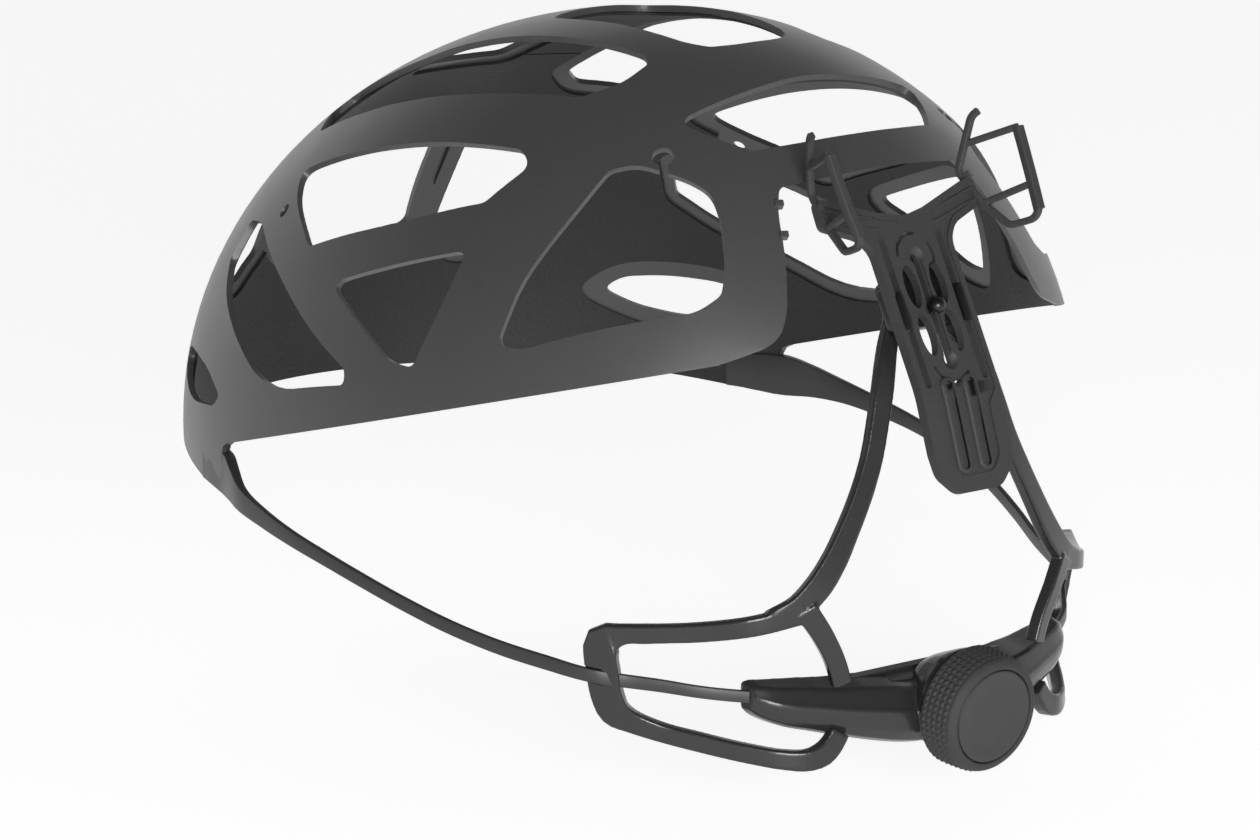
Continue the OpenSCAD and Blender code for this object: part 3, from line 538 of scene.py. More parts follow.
def on_track(x, y, z):
    """A point of the height track's frame: x across, y up the track, z into the head."""
    c, d = math.cos(TRACK_TILT), math.sin(TRACK_TILT)
    return TRACK_MID + Vector((x, -d * y - c * z, c * y - d * z))


def smooth_path(stations, step):
    """Stations joined by a smooth curve and divided evenly."""
    spans = [math.dist(a[:3], b[:3]) for a, b in zip(stations, stations[1:])]
    last = len(stations) - 1

    def slope(i, k):
        if i == 0:
            return (stations[1][k] - stations[0][k]) / spans[0]
        if i == last:
            return (stations[-1][k] - stations[-2][k]) / spans[-1]
        before, after = spans[i - 1], spans[i]
        back = (stations[i][k] - stations[i - 1][k]) / before
        ahead = (stations[i + 1][k] - stations[i][k]) / after
        return (back * after + ahead * before) / (before + after)

    result = []
    for i, span in enumerate(spans):
        parts = max(1, round(span / step))
        for j in range(parts):
            t = j / parts
            result.append(tuple(
                (1 + 2 * t) * (1 - t) ** 2 * stations[i][k] + t * (1 - t) ** 2 * span * slope(i, k)
                + t * t * (3 - 2 * t) * stations[i + 1][k] + t * t * (t - 1) * span * slope(i + 1, k)
                for k in range(len(stations[0]))))
    return result + [tuple(stations[-1])]


def section(a, b, corner, steps=3):
    """A rectangle of half sizes a and b with rounded corners."""
    points = []
    for sign_a, sign_b, start in ((1, 1, 0), (-1, 1, 90), (-1, -1, 180), (1, -1, 270)):
        for k in range(steps + 1):
            t = math.radians(start + 90 * k / steps)
            points.append((sign_a * (a - corner) + corner * math.cos(t),
                           sign_b * (b - corner) + corner * math.sin(t)))
    return points


# how the cradle's arms lean: from which height, over what length, and how far upwards
LEAN_LOW, LEAN_LENGTH, LEAN_UP = 8, 16, 30
HEAD_MIDDLE = 24


def bar_rings(path, depth, corner, upright=False):
    """Sections square to a path, their width across the path and their thickness outwards."""
    rings = []
    for i, here in enumerate(path):
        ahead, behind = path[min(i + 1, len(path) - 1)], path[max(i - 1, 0)]
        along = (Vector(ahead[:3]) - Vector(behind[:3])).normalized()
        if upright:
            side = Vector((0, 0, 1))
            out = Vector((along.y, -along.x, 0)).normalized()
        else:
            # outwards from the middle of the head, and turning upwards near the plate
            rise = min(max((here[2] - LEAN_LOW) / LEAN_LENGTH, 0), 1)
            lift = LEAN_UP * rise * rise * (3 - 2 * rise)
            lean = Vector((here[0] / (1 + rise), here[1] - HEAD_MIDDLE, lift)).normalized()
            side = along.cross(lean).normalized()
            out = side.cross(along)
        thick = depth(here) if callable(depth) else depth
        rings.append([in_frame(Vector(here[:3]) + side * u + out * v)
                      for u, v in section(here[3] / 2, thick / 2, corner)])
    return rings


def mirrored(rings):
    """The same sections on the wearer's other side."""
    return [[Vector((-p.x, p.y, p.z)) for p in ring] for ring in rings]


def moulded(piece, voxel, passes):
    """Runs pieces that cross into one skin, with the small fillets of a moulding."""
    modify(piece, "REMESH", mode="VOXEL", voxel_size=voxel * MM, adaptivity=0)
    modify(piece, "SMOOTH", factor=0.5, iterations=passes)
    return outward(piece)


def turned(name, profile, steps=96, under=lambda i, j: 0):
    """A profile of radius and height turned about the dial's axis, with points set under it if asked."""
    rings = []
    for j, (radius, height) in enumerate(profile):
        ring = []
        for i in range(steps):
            own, turn = radius - under(i, j), 2 * math.pi * i / steps
            ring.append(in_frame(on_dial(own * math.cos(turn), own * math.sin(turn), height)))
        rings.append(ring)
    return drawn_through(name, rings)


# belts, one ribbon each side from the brow to the mouth of the housing
def belt_depth(p):
    """As thick as the shell's wall and lining where it leaves the shell, thinner from there."""
    t = min(max((p[1] - ROOT_END) / ROOT_TAPER, 0), 1)
    return ROOT_THICK + (BELT_THICK - ROOT_THICK) * t * t * (3 - 2 * t)


def belt_rings(first, last, room):
    """Sections of a belt between two of its stations, with room all round."""
    path = smooth_path(BELT, 1.6)
    part = [p for p in path if BELT[last][0] - 0.01 <= p[0] and p[1] >= BELT[first][1] - 0.01]
    wider = [p[:3] + (p[3] + 2 * room,) for p in part]
    return bar_rings(wider, lambda p: belt_depth(p) + 2 * room, 0.22, True)


belts = []
for name, flip in (("left_belt_ribbon", False), ("right_belt_ribbon", True)):
    rings = belt_rings(0, len(BELT) - 1, 0)
    belts.append(smooth(drawn_through(name, mirrored(rings) if flip else rings), 40))

# cradle: two arms, two wings and their struts run into one moulding
bars = []
BAR_STEP, BAR_CORNER = 1.5, 0.42
CRADLE_VOXEL, HOUSING_VOXEL = 0.28, 0.26
for line, thick in ((ARM, ARM_THICK), (LOOP, LOOP_THICK), (STRUT, ARM_THICK)):
    rings = bar_rings(smooth_path(line, BAR_STEP), thick, BAR_CORNER)
    bars.append(drawn_through("bar", rings))
    bars.append(drawn_through("bar", mirrored(rings)))
block = rounded([Vector(p) for p in ((-6.5, -2), (6.5, -2), (6.5, 8), (-6.5, 8))], 2)
bars.append(drawn_through("block", [[in_frame(on_track(p.x, p.y, z)) for p in block]
                                    for z in (PLATE_BACK + 0.4, PLATE_BACK + 2.4)]))
cradle = moulded(joined("cradle_frame_skin", bars), CRADLE_VOXEL, 2)


def belt_cut(piece, first, last, room):
    """The way of both belts through a piece."""
    rings = belt_rings(first, last, room)
    for way in (rings, mirrored(rings)):
        cutter = drawn_through("belt_way_cutter", way)
        cut_away(piece, cutter)
        clear_away(cutter)


# stations between which a belt passes the wing, and runs inside the housing
WING_PASS, HOUSING_RUN = (11, 15), (15, 19)
belt_cut(cradle, *WING_PASS, 0.35)
smooth(cradle, 38)

# housing: one lofted arm each side and a round collar behind the dial
# its section as shares of depth and height, with a crease in the rear face
HOUSE_SECTION = ((-0.5, -0.42), (-0.4, -0.5), (0.16, -0.5), (0.34, -0.44), (0.46, -0.28), (0.5, -0.08),
                 (0.49, 0.03), (0.45, 0.07), (0.29, 0.33), (0.22, 0.37), (-0.4, 0.5), (-0.5, 0.42))


def house_ring(station):
    """The housing's section at one station, with its corners cut off a little."""
    x, y, z, d, h = station
    flat = [Vector((d * a, h * b)) for a, b in HOUSE_SECTION]
    points = []
    for i, here in enumerate(flat):
        for other in (flat[i - 1], flat[(i + 1) % len(flat)]):
            points.append(here + (other - here) * min(0.3, 0.12 / (other - here).length))
    return [in_frame((x, y + p.x, z + p.y)) for p in points]


loft = smooth_path(HOUSE, 1.2)
whole = [house_ring(p) for p in loft] + [house_ring((-p[0],) + p[1:]) for p in reversed(loft[:-1])]
collar = turned("collar", [(7, -9.5), (8.4, -7), (9.4, -5), (10.4, -3), (10.9, -1.6), (10.9, -0.25),
                           (10.5, -0.2)])
housing = moulded(joined("dial_housing_skin", [drawn_through("loft", whole), collar]), HOUSING_VOXEL, 3)
belt_cut(housing, *HOUSING_RUN, 0.55)
# seat of the base, pocket of the click ring and bore of the spindle
SEAT = [(-14.6, -4.1), (14.6, -4.1), (27.6, -2.2), (27.6, 2.2), (14.6, 4.1), (-14.6, 4.1), (-27.6, 2.2),
        (-27.6, -2.2)]
POCKET_RADIUS, BORE_RADIUS = 9.2, 3.06
for outline, depths in ((circle(Vector((0, 0)), POCKET_RADIUS, 72), (-3.1, 4)),
                        (circle(Vector((0, 0)), BORE_RADIUS, 48), (-9, -2)),
                        ([Vector(p) for p in SEAT], (-24, -11.4))):
    rings = [[in_frame(on_dial(p.x, p.y, z)) for p in outline] for z in depths]
    cutter = drawn_through("house_cutter", rings)
    cut_away(housing, cutter)
    clear_away(cutter)
smooth(housing, 38)

# dial grip: rows of small pyramids on the side, a smooth shoulder and an open middle
PEAKS, ROWS = 54, 10
KNURL_LOW, KNURL_TOP, KNURL_DEPTH = 0.3, 7, 0.38


def knurl(i, j):
    """How far a point of the side lies under the peaks: each peak has a square of valley round it."""
    if j < 0 or j > ROWS or (i % 2 and j % 2):
        return 0
    return KNURL_DEPTH


GRIP_TAPER = 0.4
GRIP_BORE = 9.62
side = [(DIAL_RADIUS - GRIP_TAPER * (k / ROWS) ** 2, KNURL_LOW + (KNURL_TOP - KNURL_LOW) * k / ROWS)
        for k in range(ROWS + 1)]
shoulder = [(11.55, 7.4), (11.35, 7.8), (11, 8.2), (10.6, 8.46), (10.2, 8.6), (9.9, 8.62), (9.7, 8.52),
            (GRIP_BORE, 8.3), (GRIP_BORE, 7.2)]
grip = turned("dial_grip_skin", [(GRIP_BORE, KNURL_LOW), (11.6, KNURL_LOW)] + side + shoulder, PEAKS * 2,
              lambda i, j: knurl(i, j - 2))
only(grip)
bpy.ops.object.mode_set(mode="EDIT")
mesh = bmesh.from_edit_mesh(grip.data)
dial_centre = in_frame(KNOB_BACK)
dial_axis = (in_frame(on_dial(0, 0, 1)) - dial_centre).normalized()


def from_axis(vertex):
    """How far a vertex of the grip lies from the dial's axis."""
    away = vertex.co - dial_centre
    return (away - dial_axis * away.dot(dial_axis)).length


for face in list(mesh.faces):
    height = (face.calc_center_median() - dial_centre).dot(dial_axis) / MM
    corners = list(face.verts)
    if len(corners) == 4 and KNURL_LOW < height < KNURL_TOP:
        peak = max(range(4), key=lambda k: from_axis(corners[k]))
        bmesh.utils.face_split(face, corners[peak], corners[peak - 2])
bmesh.update_edit_mesh(grip.data)
bpy.ops.object.mode_set(mode="OBJECT")
smooth(grip, 14)

# cap of the dial: a bevelled rim round a shallow dish, left bare
cap = turned("dial_cap_skin", [(9.3, 6.6), (9.38, 8.3), (9.25, 8.5), (9, 8.58), (8.7, 8.56), (7.4, 8.3),
                               (6.7, 8.12), (6.2, 8.04), (5.6, 8), (3, 8), (1, 8)])
smooth(cap, 30)

# anchor cages: bent rods with two cross bars
def bent(points, reach=1.2, steps=4):
    """A line with its corners rounded."""
    line = [Vector(p) for p in points]
    result = [line[0]]
    for before, here, after in zip(line, line[1:], line[2:]):
        a, b = before - here, after - here
        first = here + a.normalized() * min(reach, a.length * 0.45)
        last = here + b.normalized() * min(reach, b.length * 0.45)
        for k in range(steps + 1):
            t = k / steps
            result.append(first * (1 - t) ** 2 + here * 2 * t * (1 - t) + last * t * t)
    return result + [line[-1]]


def rod_rings(line, width):
    """Square sections along a line, turned no more than the line itself."""
    rings = []
    across_line = None
    for i, here in enumerate(line):
        along = (line[min(i + 1, len(line) - 1)] - line[max(i - 1, 0)]).normalized()
        start = across_line or Vector((1, 0, 0))
        across_line = (start - along * start.dot(along)).normalized()
        other = along.cross(across_line)
        rings.append([in_frame(here + across_line * u + other * v)
                      for u, v in section(width / 2, width / 2, 0.3)])
    return rings


# widths of the loop, the flat inner rod and the cross bars as shares of the rod
LOOP_SHARE, INNER_SHARE, BAR_SHARE = 0.86, 1.16, 0.84
cages = []
for name, flip in (("left_cage_rods", False), ("right_cage_rods", True)):
    rods = []
    for line, share in ((bent(CAGE[:9]), LOOP_SHARE), (bent(CAGE[7:]), INNER_SHARE),
                        ([Vector(CAGE[2]), Vector(CAGE[10])], BAR_SHARE),
                        ([Vector(CAGE[4]), Vector(CAGE[8])], BAR_SHARE)):
        rings = rod_rings(line, CAGE_ROD * share)
        rods.append(drawn_through("rod", mirrored(rings) if flip else rings))
    cages.append(smooth(joined(name, rods), 40))


# yoke: a plate with two arms and a tab, cut and bevelled flat, then laid along the track and bent
YOKE = [(0, 18.9), (6.4, 20.2), (20.6, 25), (20.9, 18.9), (12.4, 15.8), (10.2, 12.8), (10.2, -28.5),
        (9.5, -32.9), (5.4, -36.8), (0, -36.8)]
YOKE_CORNERS = [6, 5, 1.5, 1.5, 5, 5, 4, 4, 4, 4]
PANEL = [(0, 17.5), (6.2, 18.8), (19.4, 23.2), (19.6, 20.1), (12, 17.1), (8.95, 13.1), (8.95, -17.8),
         (6.7, -20.6), (6.7, -30.4), (4.3, -33.6), (0, -33.6)]
PANEL_CORNERS = [6, 5, 0.6, 0.6, 5, 5, 1, 1, 3, 3, 3]
PLATE_THICK = 2.2
PANEL_SUNK = 0.35
DETENT_PITCH = 10.7
BALL = 3.4
SOCKET_ROOM = 0.75
# side slots for the hooks, oval holes, track slot with its groove, and slots of the tab with their rims
SIDE_SLOT_X, SIDE_SLOT_END, SIDE_SLOT_WIDTH = 7.5, 14.8, 1.6
OVAL_X, OVAL_HALF = 3.5, (1.8, 4.4)
OVAL_MIDDLES = (4.7, -5.1)
TRACK_SLOT_WIDTH, GROOVE_WIDTH, GROOVE_DEPTH = 1.3, 2.2, 0.9
TAB_SLOT_X, TAB_SLOT_LOW, TAB_SLOT_HIGH, TAB_SLOT_WIDTH = 2.85, -31.3, -15.9, 2.1
RIM_WIDTH, RIM_BEVEL = 3.9, 0.6
# arc slits round the outer sockets: middle, radius, first and last angle
SLIT_WIDTH = 0.7
SLITS = ((DETENT_PITCH, 4.6, 5, 105), (DETENT_PITCH, 4.4, 150, 205), (-DETENT_PITCH, 4.6, 215, 350))
# ribs on the arms: half length, half width, middle of the first and step to the next
RIB_HALF, RIB_TURN = (6.2, 0.3), 15
RIB_MIDDLE, RIB_STEP = (13.4, 18.4), (0.8, 2.5)
THROUGH = (-3, 6)
BEND_START, BEND_LENGTH, BEND = -14.0, 5.0, math.radians(9.5)


def both_corners(half_outline, corners):
    """Corner radii of a half outline and of its mirror image."""
    return corners + [r for p, r in reversed(list(zip(half_outline, corners))) if p[0] > 0.01]


def flat_piece(name, outline, near, far):
    """An outline in millimetres drawn from one depth to another, before it is laid along the track."""
    return drawn_through(name, [[Vector((p[0], p[1], z)) * MM for p in outline] for z in (near, far)])


def capsule_outline(x, low_y, high_y, width, steps=10):
    """An upright slot with round ends."""
    points = []
    for middle, start in ((high_y, 0), (low_y, 180)):
        for k in range(steps + 1):
            t = math.radians(start + 180 * k / steps)
            points.append((x + width / 2 * math.cos(t), middle + width / 2 * math.sin(t)))
    return points


def arc_outline(y, radius, first, last, width, steps=14):
    """A curved slit about a point of the middle line."""
    points = []
    for edge, order in ((width / 2, range(steps + 1)), (-width / 2, range(steps, -1, -1))):
        for k in order:
            t = math.radians(first + (last - first) * k / steps)
            points.append(((radius + edge) * math.cos(t), y + (radius + edge) * math.sin(t)))
    return points


def along_track(p):
    """A point of the flat plate in metres, laid along the track and bent at the tab."""
    x, y, z = p[0] / MM, p[1] / MM, p[2] / MM
    past = BEND_START - y
    if past > 0:
        turn = BEND * min(past / BEND_LENGTH, 1)
        radius = BEND_LENGTH / BEND
        rest = max(past - BEND_LENGTH, 0)
        y = BEND_START - radius * math.sin(turn) - rest * math.cos(turn) + z * math.sin(turn)
        z = radius * (1 - math.cos(turn)) + rest * math.sin(turn) + z * math.cos(turn)
    return in_frame(on_track(x, y, z))


def oval_outline(x, y, steps=40):
    return [(x + OVAL_HALF[0] * math.cos(t), y + OVAL_HALF[1] * math.sin(t))
            for t in (2 * math.pi * k / steps for k in range(steps))]


yoke_outline = rounded([Vector(p) for p in across(YOKE)], both_corners(YOKE, YOKE_CORNERS))
panel_outline = rounded([Vector(p) for p in across(PANEL)], both_corners(PANEL, PANEL_CORNERS))
plate = flat_piece("rear_yoke_skin", yoke_outline, 0, PLATE_THICK)
cuts = [(panel_outline, -2, PANEL_SUNK)]
for way in (-1, 1):
    slot = capsule_outline(way * SIDE_SLOT_X, -SIDE_SLOT_END, SIDE_SLOT_END, SIDE_SLOT_WIDTH)
    cuts.append((slot, *THROUGH))
    cuts += [(oval_outline(way * OVAL_X, y), *THROUGH) for y in OVAL_MIDDLES]
cuts.append((capsule_outline(0, -DETENT_PITCH, DETENT_PITCH, TRACK_SLOT_WIDTH), *THROUGH))
cuts.append((capsule_outline(0, -DETENT_PITCH, DETENT_PITCH, GROOVE_WIDTH), -3, GROOVE_DEPTH))
cuts += [(arc_outline(*slit, SLIT_WIDTH), *THROUGH) for slit in SLITS]
for outline, near, far in cuts:
    cutter = flat_piece("plate_cutter", outline, near, far)
    cut_away(plate, cutter)
    clear_away(cutter)
for k in (-1, 0, 1):
    bpy.ops.object.select_all(action="DESELECT")
    bpy.ops.mesh.primitive_uv_sphere_add(segments=40, ring_count=24, radius=(BALL / 2 + SOCKET_ROOM) * MM,
                                         location=(0, k * DETENT_PITCH * MM, -1.1 * MM))
    cutter = bpy.context.object
    cut_away(plate, cutter)
    clear_away(cutter)
bevelled(plate, 0.09, 1)
extras = []
for way in (-1, 1):
    outline = capsule_outline(way * TAB_SLOT_X, TAB_SLOT_LOW, TAB_SLOT_HIGH, RIM_WIDTH, 16)
    extras.append(bevelled(flat_piece("slot_rim", outline, -0.3, PLATE_THICK), RIM_BEVEL, 4, 60))
    for e in (0, 1):
        turn = math.radians(way * RIB_TURN)
        middle = Vector((way * (RIB_MIDDLE[0] + e * RIB_STEP[0]), RIB_MIDDLE[1] + e * RIB_STEP[1]))
        along, over = Vector((math.cos(turn), math.sin(turn))), Vector((-math.sin(turn), math.cos(turn)))
        outline = [middle + along * a * RIB_HALF[0] + over * b * RIB_HALF[1]
                   for a, b in ((-1, -1), (1, -1), (1, 1), (-1, 1))]
        extras.append(bevelled(flat_piece("rib", [tuple(p) for p in outline], 0.05, 1), 0.15))
plate = joined("rear_yoke_skin", [plate] + extras)
for way in (-1, 1):
    outline = capsule_outline(way * TAB_SLOT_X, TAB_SLOT_LOW, TAB_SLOT_HIGH, TAB_SLOT_WIDTH, 12)
    cutter = flat_piece("tab_slot_cutter", outline, *THROUGH)
    cut_away(plate, cutter)
    clear_away(cutter)
# cross cuts where the tab bends
only(plate)
bpy.ops.object.mode_set(mode="EDIT")
for step in range(6):
    bpy.ops.mesh.select_all(action="SELECT")
    bpy.ops.mesh.bisect(plane_co=(0, (BEND_START - step) * MM, 0), plane_no=(0, 1, 0))
bpy.ops.object.mode_set(mode="OBJECT")
for vertex in plate.data.vertices:
    vertex.co = along_track(vertex.co)
outward(plate)
crisp(plate)

# slider behind the plate: block, tongue, two side hooks and the ball stud
SLIDER_HALF, SLIDER_LOW, SLIDER_HIGH = 8.7, -3, 6.2
BLOCK_DEPTHS, TONGUE_DEPTHS = (2.4, 5.4), (2.6, 3.5)
TONGUE_SIDE_TOP, TONGUE_TOP, TONGUE_TOP_HALF = 7, 12, 4
POST_HALF, POST_WIDTH, POST_DEPTHS = 3.2, 1.3, (0.1, 3.4)
HOOK_X, HOOK_HALF, HOOK_WIDTH, HOOK_DEPTHS = 7.9, 2.8, 2, (-0.35, 0.2)
BALL_OUT = 1.05
STEM_RADIUS, STEM_DEPTHS = 0.55, (-1, 2.7)
foot = [(-SLIDER_HALF, SLIDER_LOW), (SLIDER_HALF, SLIDER_LOW)]
block = rounded([Vector(p) for p in foot + [(SLIDER_HALF, SLIDER_HIGH), (-SLIDER_HALF, SLIDER_HIGH)]], 1.2, 4)
parts = [bevelled(flat_piece("block", block, *BLOCK_DEPTHS), 0.3)]
for way in (-1, 1):
    post = capsule_outline(way * SIDE_SLOT_X, -POST_HALF, POST_HALF, POST_WIDTH)
    parts.append(flat_piece("post", post, *POST_DEPTHS))
    hook = capsule_outline(way * HOOK_X, -HOOK_HALF, HOOK_HALF, HOOK_WIDTH)
    parts.append(bevelled(flat_piece("hook", hook, *HOOK_DEPTHS), 0.15))
tongue = rounded([Vector(p) for p in foot + [
    (SLIDER_HALF, TONGUE_SIDE_TOP), (TONGUE_TOP_HALF, TONGUE_TOP), (-TONGUE_TOP_HALF, TONGUE_TOP),
    (-SLIDER_HALF, TONGUE_SIDE_TOP)]], 2, 4)
parts.append(bevelled(flat_piece("tongue", tongue, *TONGUE_DEPTHS), 0.2))
bpy.ops.object.select_all(action="DESELECT")
bpy.ops.mesh.primitive_uv_sphere_add(segments=48, ring_count=32, radius=BALL / 2 * MM,
                                     location=(0, 0, -BALL_OUT * MM))
bpy.ops.object.transform_apply(location=True)
parts.append(bpy.context.object)
stem = circle(Vector((0, 0)), STEM_RADIUS)
parts.append(flat_piece("stem", [tuple(p) for p in stem], *STEM_DEPTHS))
slider = joined("detent_slider_skin", parts)
for vertex in slider.data.vertices:
    vertex.co = along_track(vertex.co)
outward(slider)
smooth(slider, 40)


def plastic(name, colour, roughness, grain_scale, grain_depth, mottle=0.12, sheen_gloss=0.5):
    """A dark moulded plastic: grain as bump, and a slow change of colour and gloss."""
    material = bpy.data.materials.new(name)
    material.use_nodes = True
    tree = material.node_tree
    shader = tree.nodes["Principled BSDF"]
    shader.inputs["Specular IOR Level"].default_value = sheen_gloss
    place = tree.nodes.new("ShaderNodeTexCoord")
    grain = tree.nodes.new("ShaderNodeTexNoise")
    grain.inputs["Scale"].default_value = grain_scale
    grain.inputs["Detail"].default_value = 3
    tree.links.new(place.outputs["Object"], grain.inputs["Vector"])
    bump = tree.nodes.new("ShaderNodeBump")
    bump.inputs["Strength"].default_value = 1
    bump.inputs["Distance"].default_value = grain_depth * MM
    tree.links.new(grain.outputs["Fac"], bump.inputs["Height"])
    tree.links.new(bump.outputs["Normal"], shader.inputs["Normal"])
    cloud = tree.nodes.new("ShaderNodeTexNoise")
    cloud.inputs["Scale"].default_value = 60
    tree.links.new(place.outputs["Object"], cloud.inputs["Vector"])
    ramp = tree.nodes.new("ShaderNodeMapRange")
    ramp.inputs["To Min"].default_value = roughness - 0.04
    ramp.inputs["To Max"].default_value = roughness + 0.05
    tree.links.new(cloud.outputs["Fac"], ramp.inputs["Value"])
    tree.links.new(ramp.outputs["Result"], shader.inputs["Roughness"])
    tint = tree.nodes.new("ShaderNodeMix")
    tint.data_type = "RGBA"
    tint.inputs["A"].default_value = tuple(c * (1 - mottle) for c in colour) + (1,)
    tint.inputs["B"].default_value = tuple(min(1, c * (1 + mottle)) for c in colour) + (1,)
    tree.links.new(grain.outputs["Fac"], tint.inputs["Factor"])
    tree.links.new(tint.outputs["Result"], shader.inputs["Base Color"])
    return material


satin = plastic("satin_nylon", (0.07, 0.07, 0.071), 0.36, 900, 0.008, 0.1, 0.6)
textured = plastic("textured_lining", (0.026, 0.026, 0.027), 0.6, 1300, 0.16, 0.3, 0.4)
belt_skin = plastic("belt_nylon", (0.036, 0.036, 0.037), 0.4, 900, 0.008)
matte = plastic("grained_nylon", (0.05, 0.05, 0.051), 0.6, 2200, 0.07, 0.25, 0.4)
gloss = plastic("gloss_plastic", (0.03, 0.03, 0.0305), 0.22, 700, 0.002)
# the slider's plastic is the cradle's gloss made much darker: painted shade for the dim space seen through
# the yoke's windows
painted_shade_gloss = plastic("gloss_plastic_painted_shade", (0.008, 0.008, 0.0082), 0.3, 700, 0.002)
acetal = plastic("drive_acetal", (0.05, 0.05, 0.051), 0.4, 900, 0.01)
rubber = plastic("grip_rubber", (0.045, 0.045, 0.0455), 0.7, 1600, 0.03, 0.2)
cap_skin = plastic("cap_plastic", (0.048, 0.048, 0.0485), 0.55, 2600, 0.02, 0.2)
steel = plastic("screw_steel", (0.5, 0.5, 0.51), 0.3, 600, 0.01)
steel.node_tree.nodes["Principled BSDF"].inputs["Metallic"].default_value = 1.0


def finish_with(piece, material):
    piece.data.materials.clear()
    piece.data.materials.append(material)
    return piece


for material, names in (
        (satin, ("liner_shell",)),
        (textured, ("brow_lining", "left_lining", "right_lining", "crown_lining")),
        (belt_skin, ("left_belt", "right_belt")),
        (matte, ("rear_yoke", "left_anchor_cage", "right_anchor_cage")),
        (gloss, ("detent_slider", "cradle_frame", "dial_housing", "housing_base")),
        (acetal, ("click_ring", "left_rack", "right_rack", "drive_spindle", "click_spring")),
        (rubber, ("dial_grip",)), (cap_skin, ("dial_core", "dial_cap")), (steel, ("spindle_screw",))):
    for name in names:
        finish_with(nodes[name], material)

finish_with(shell, satin)
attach(shell, "liner")
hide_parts("liner_shell")
for lining, node in zip(linings, ("brow_lining", "left_lining", "right_lining", "crown_lining")):
    finish_with(lining, textured)
    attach(lining, "liner")
    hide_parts(node)

for ribbon, node in zip(belts, ("left_belt", "right_belt")):
    finish_with(ribbon, belt_skin)
    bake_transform(ribbon)
    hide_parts(node)
for cage, node in zip(cages, ("left_anchor_cage", "right_anchor_cage")):
    finish_with(cage, matte)
    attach(cage, "liner")
    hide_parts(node)
for piece, material, body, node, slot in (
        (cradle, gloss, "cradle", "cradle_frame", "cradle_gloss"),
        (housing, gloss, "cradle", "dial_housing", "cradle_gloss"),
        (grip, rubber, "dial", "dial_grip", "grip_rubber"),
        (cap, cap_skin, "dial", "dial_cap", "grip_rubber"),
        (plate, matte, "liner", "rear_yoke", "hanger_nylon"),
        # the slider takes the darker copy of the cradle's gloss, which is painted shade
        (slider, painted_shade_gloss, "cradle", "detent_slider", "cradle_gloss")):
    finish_with(piece, material)
    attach(piece, body)
    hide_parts(node)

# floor, white only to the camera and in reflections, low enough for the lowest height setting
FLOOR_DEPTH = (DETENT_PITCH + 1.5) * MM
FLOOR_SIZE = 8
FLOOR_GLOW = 0.75
bpy.ops.object.select_all(action="DESELECT")
bpy.ops.mesh.primitive_plane_add(size=FLOOR_SIZE, location=(0, 0, -FLOOR_DEPTH))
floor = bpy.context.object
floor.name = floor.data.name = "studio_floor"


def only_seen(tree):
    """One for what the camera sees straight, in a mirror or through glass, none for light on the object."""
    path = tree.nodes.new("ShaderNodeLightPath")
    first = tree.nodes.new("ShaderNodeMath")
    first.operation = "MAXIMUM"
    tree.links.new(path.outputs["Is Camera Ray"], first.inputs[0])
    tree.links.new(path.outputs["Is Glossy Ray"], first.inputs[1])
    second = tree.nodes.new("ShaderNodeMath")
    second.operation = "MAXIMUM"
    tree.links.new(first.outputs[0], second.inputs[0])
    tree.links.new(path.outputs["Is Transmission Ray"], second.inputs[1])
    return second.outputs[0]


floor_skin = bpy.data.materials.new("pale_floor")
floor_skin.use_nodes = True
tree = floor_skin.node_tree
surface = tree.nodes["Principled BSDF"]
surface.inputs["Base Color"].default_value = (0.8, 0.8, 0.8, 1)
surface.inputs["Roughness"].default_value = 0.9
surface.inputs["Specular IOR Level"].default_value = 0
surface.inputs["Emission Color"].default_value = (1, 1, 1, 1)
glow = tree.nodes.new("ShaderNodeMath")
glow.operation = "MULTIPLY"
glow.inputs[1].default_value = FLOOR_GLOW
tree.links.new(only_seen(tree), glow.inputs[0])
tree.links.new(glow.outputs[0], surface.inputs["Emission Strength"])
finish_with(floor, floor_skin)

# room: brightest at the horizon behind the object, darker overhead, and plain white to the camera
BEHIND = (-0.656, -0.755, 0)
OVERHEAD_LEVEL, NEAR_SIDE_LEVEL = 0.2, 0.3
world = bpy.data.worlds.new("studio")
bpy.context.scene.world = world
world.use_nodes = True
tree = world.node_tree
back = tree.nodes["Background"]
back.inputs["Color"].default_value = (1, 1, 1, 1)
towards = tree.nodes.new("ShaderNodeTexCoord")
split = tree.nodes.new("ShaderNodeSeparateXYZ")
tree.links.new(towards.outputs["Generated"], split.inputs[0])


def eased(tree, source, low, high, from_value, to_value):
    """A smooth change between two values over a range of the source."""
    node = tree.nodes.new("ShaderNodeMapRange")
    node.interpolation_type = "SMOOTHSTEP"
    for key, value in (("From Min", low), ("From Max", high), ("To Min", from_value), ("To Max", to_value)):
        node.inputs[key].default_value = value
    tree.links.new(source, node.inputs["Value"])
    return node.outputs["Result"]


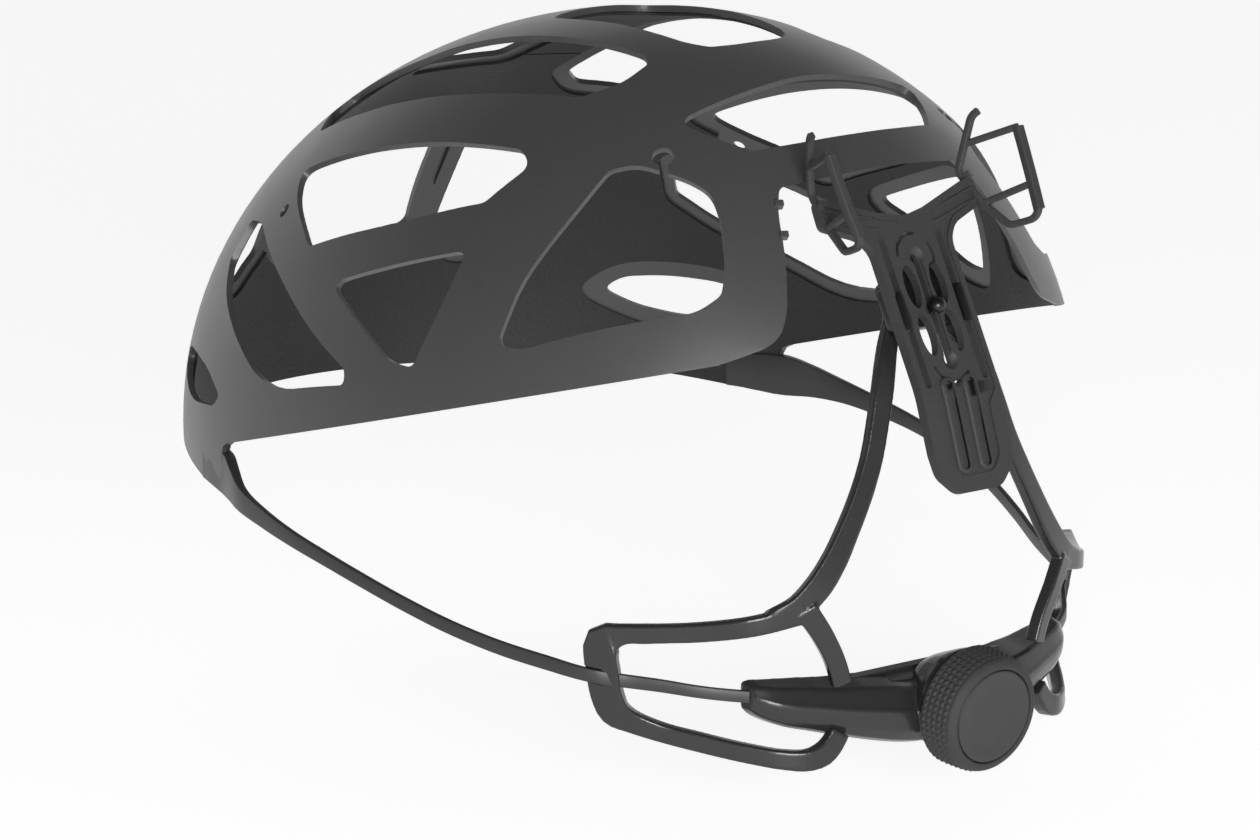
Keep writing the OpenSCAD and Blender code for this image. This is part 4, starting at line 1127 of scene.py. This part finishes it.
height = eased(tree, split.outputs["Z"], 0.1, 0.7, 1, OVERHEAD_LEVEL)
behind = tree.nodes.new("ShaderNodeVectorMath")
behind.operation = "DOT_PRODUCT"
behind.inputs[1].default_value = BEHIND
tree.links.new(towards.outputs["Generated"], behind.inputs[0])
around = eased(tree, behind.outputs["Value"], -0.3, 0.8, NEAR_SIDE_LEVEL, 1)
level = tree.nodes.new("ShaderNodeMath")
level.operation = "MULTIPLY"
tree.links.new(height, level.inputs[0])
tree.links.new(around, level.inputs[1])
path = tree.nodes.new("ShaderNodeLightPath")
bright = tree.nodes.new("ShaderNodeMath")
bright.operation = "MAXIMUM"
tree.links.new(level.outputs[0], bright.inputs[0])
tree.links.new(path.outputs["Is Camera Ray"], bright.inputs[1])
tree.links.new(bright.outputs[0], back.inputs["Strength"])


def lamp(name, place, aim, size, power):
    """A soft rectangular lamp aimed at a point."""
    light = bpy.data.lights.new(name, "AREA")
    light.shape = "RECTANGLE"
    light.size, light.size_y = size
    light.energy = power
    lamp_object = bpy.data.objects.new(name, light)
    bpy.context.scene.collection.objects.link(lamp_object)
    lamp_object.location = place
    lamp_object.rotation_euler = (Vector(aim) - Vector(place)).to_track_quat("-Z", "Y").to_euler()
    return lamp_object


# one wide soft lamp beside the camera, low and a little to the nape's side, in metres and watts
KEY_PLACE, KEY_AIM = (0.75, 1.2, 0.2), (0, 0, 0.05)
KEY_SIZE, KEY_POWER = (0.6, 0.5), 17
lamp("key", KEY_PLACE, KEY_AIM, KEY_SIZE, KEY_POWER)

# camera: the photograph's viewing angle, aimed at the middle of its frame
CAMERA_PLACE = (0.9167, 1.0527, 0.3499)
camera_data = bpy.data.cameras.new("camera")
camera_data.lens = 200
camera_data.sensor_width = 36
camera = bpy.data.objects.new("camera", camera_data)
bpy.context.scene.collection.objects.link(camera)
camera.location = CAMERA_PLACE
aim = Vector((0, -MID_Y * MM, LIFT * MM))
camera.rotation_euler = (aim - camera.location).to_track_quat("-Z", "Y").to_euler()
camera_data.clip_start, camera_data.clip_end = 0.05, 20
bpy.context.scene.camera = camera
bpy.context.scene.view_settings.view_transform = "Standard"

bpy.context.view_layer.update()
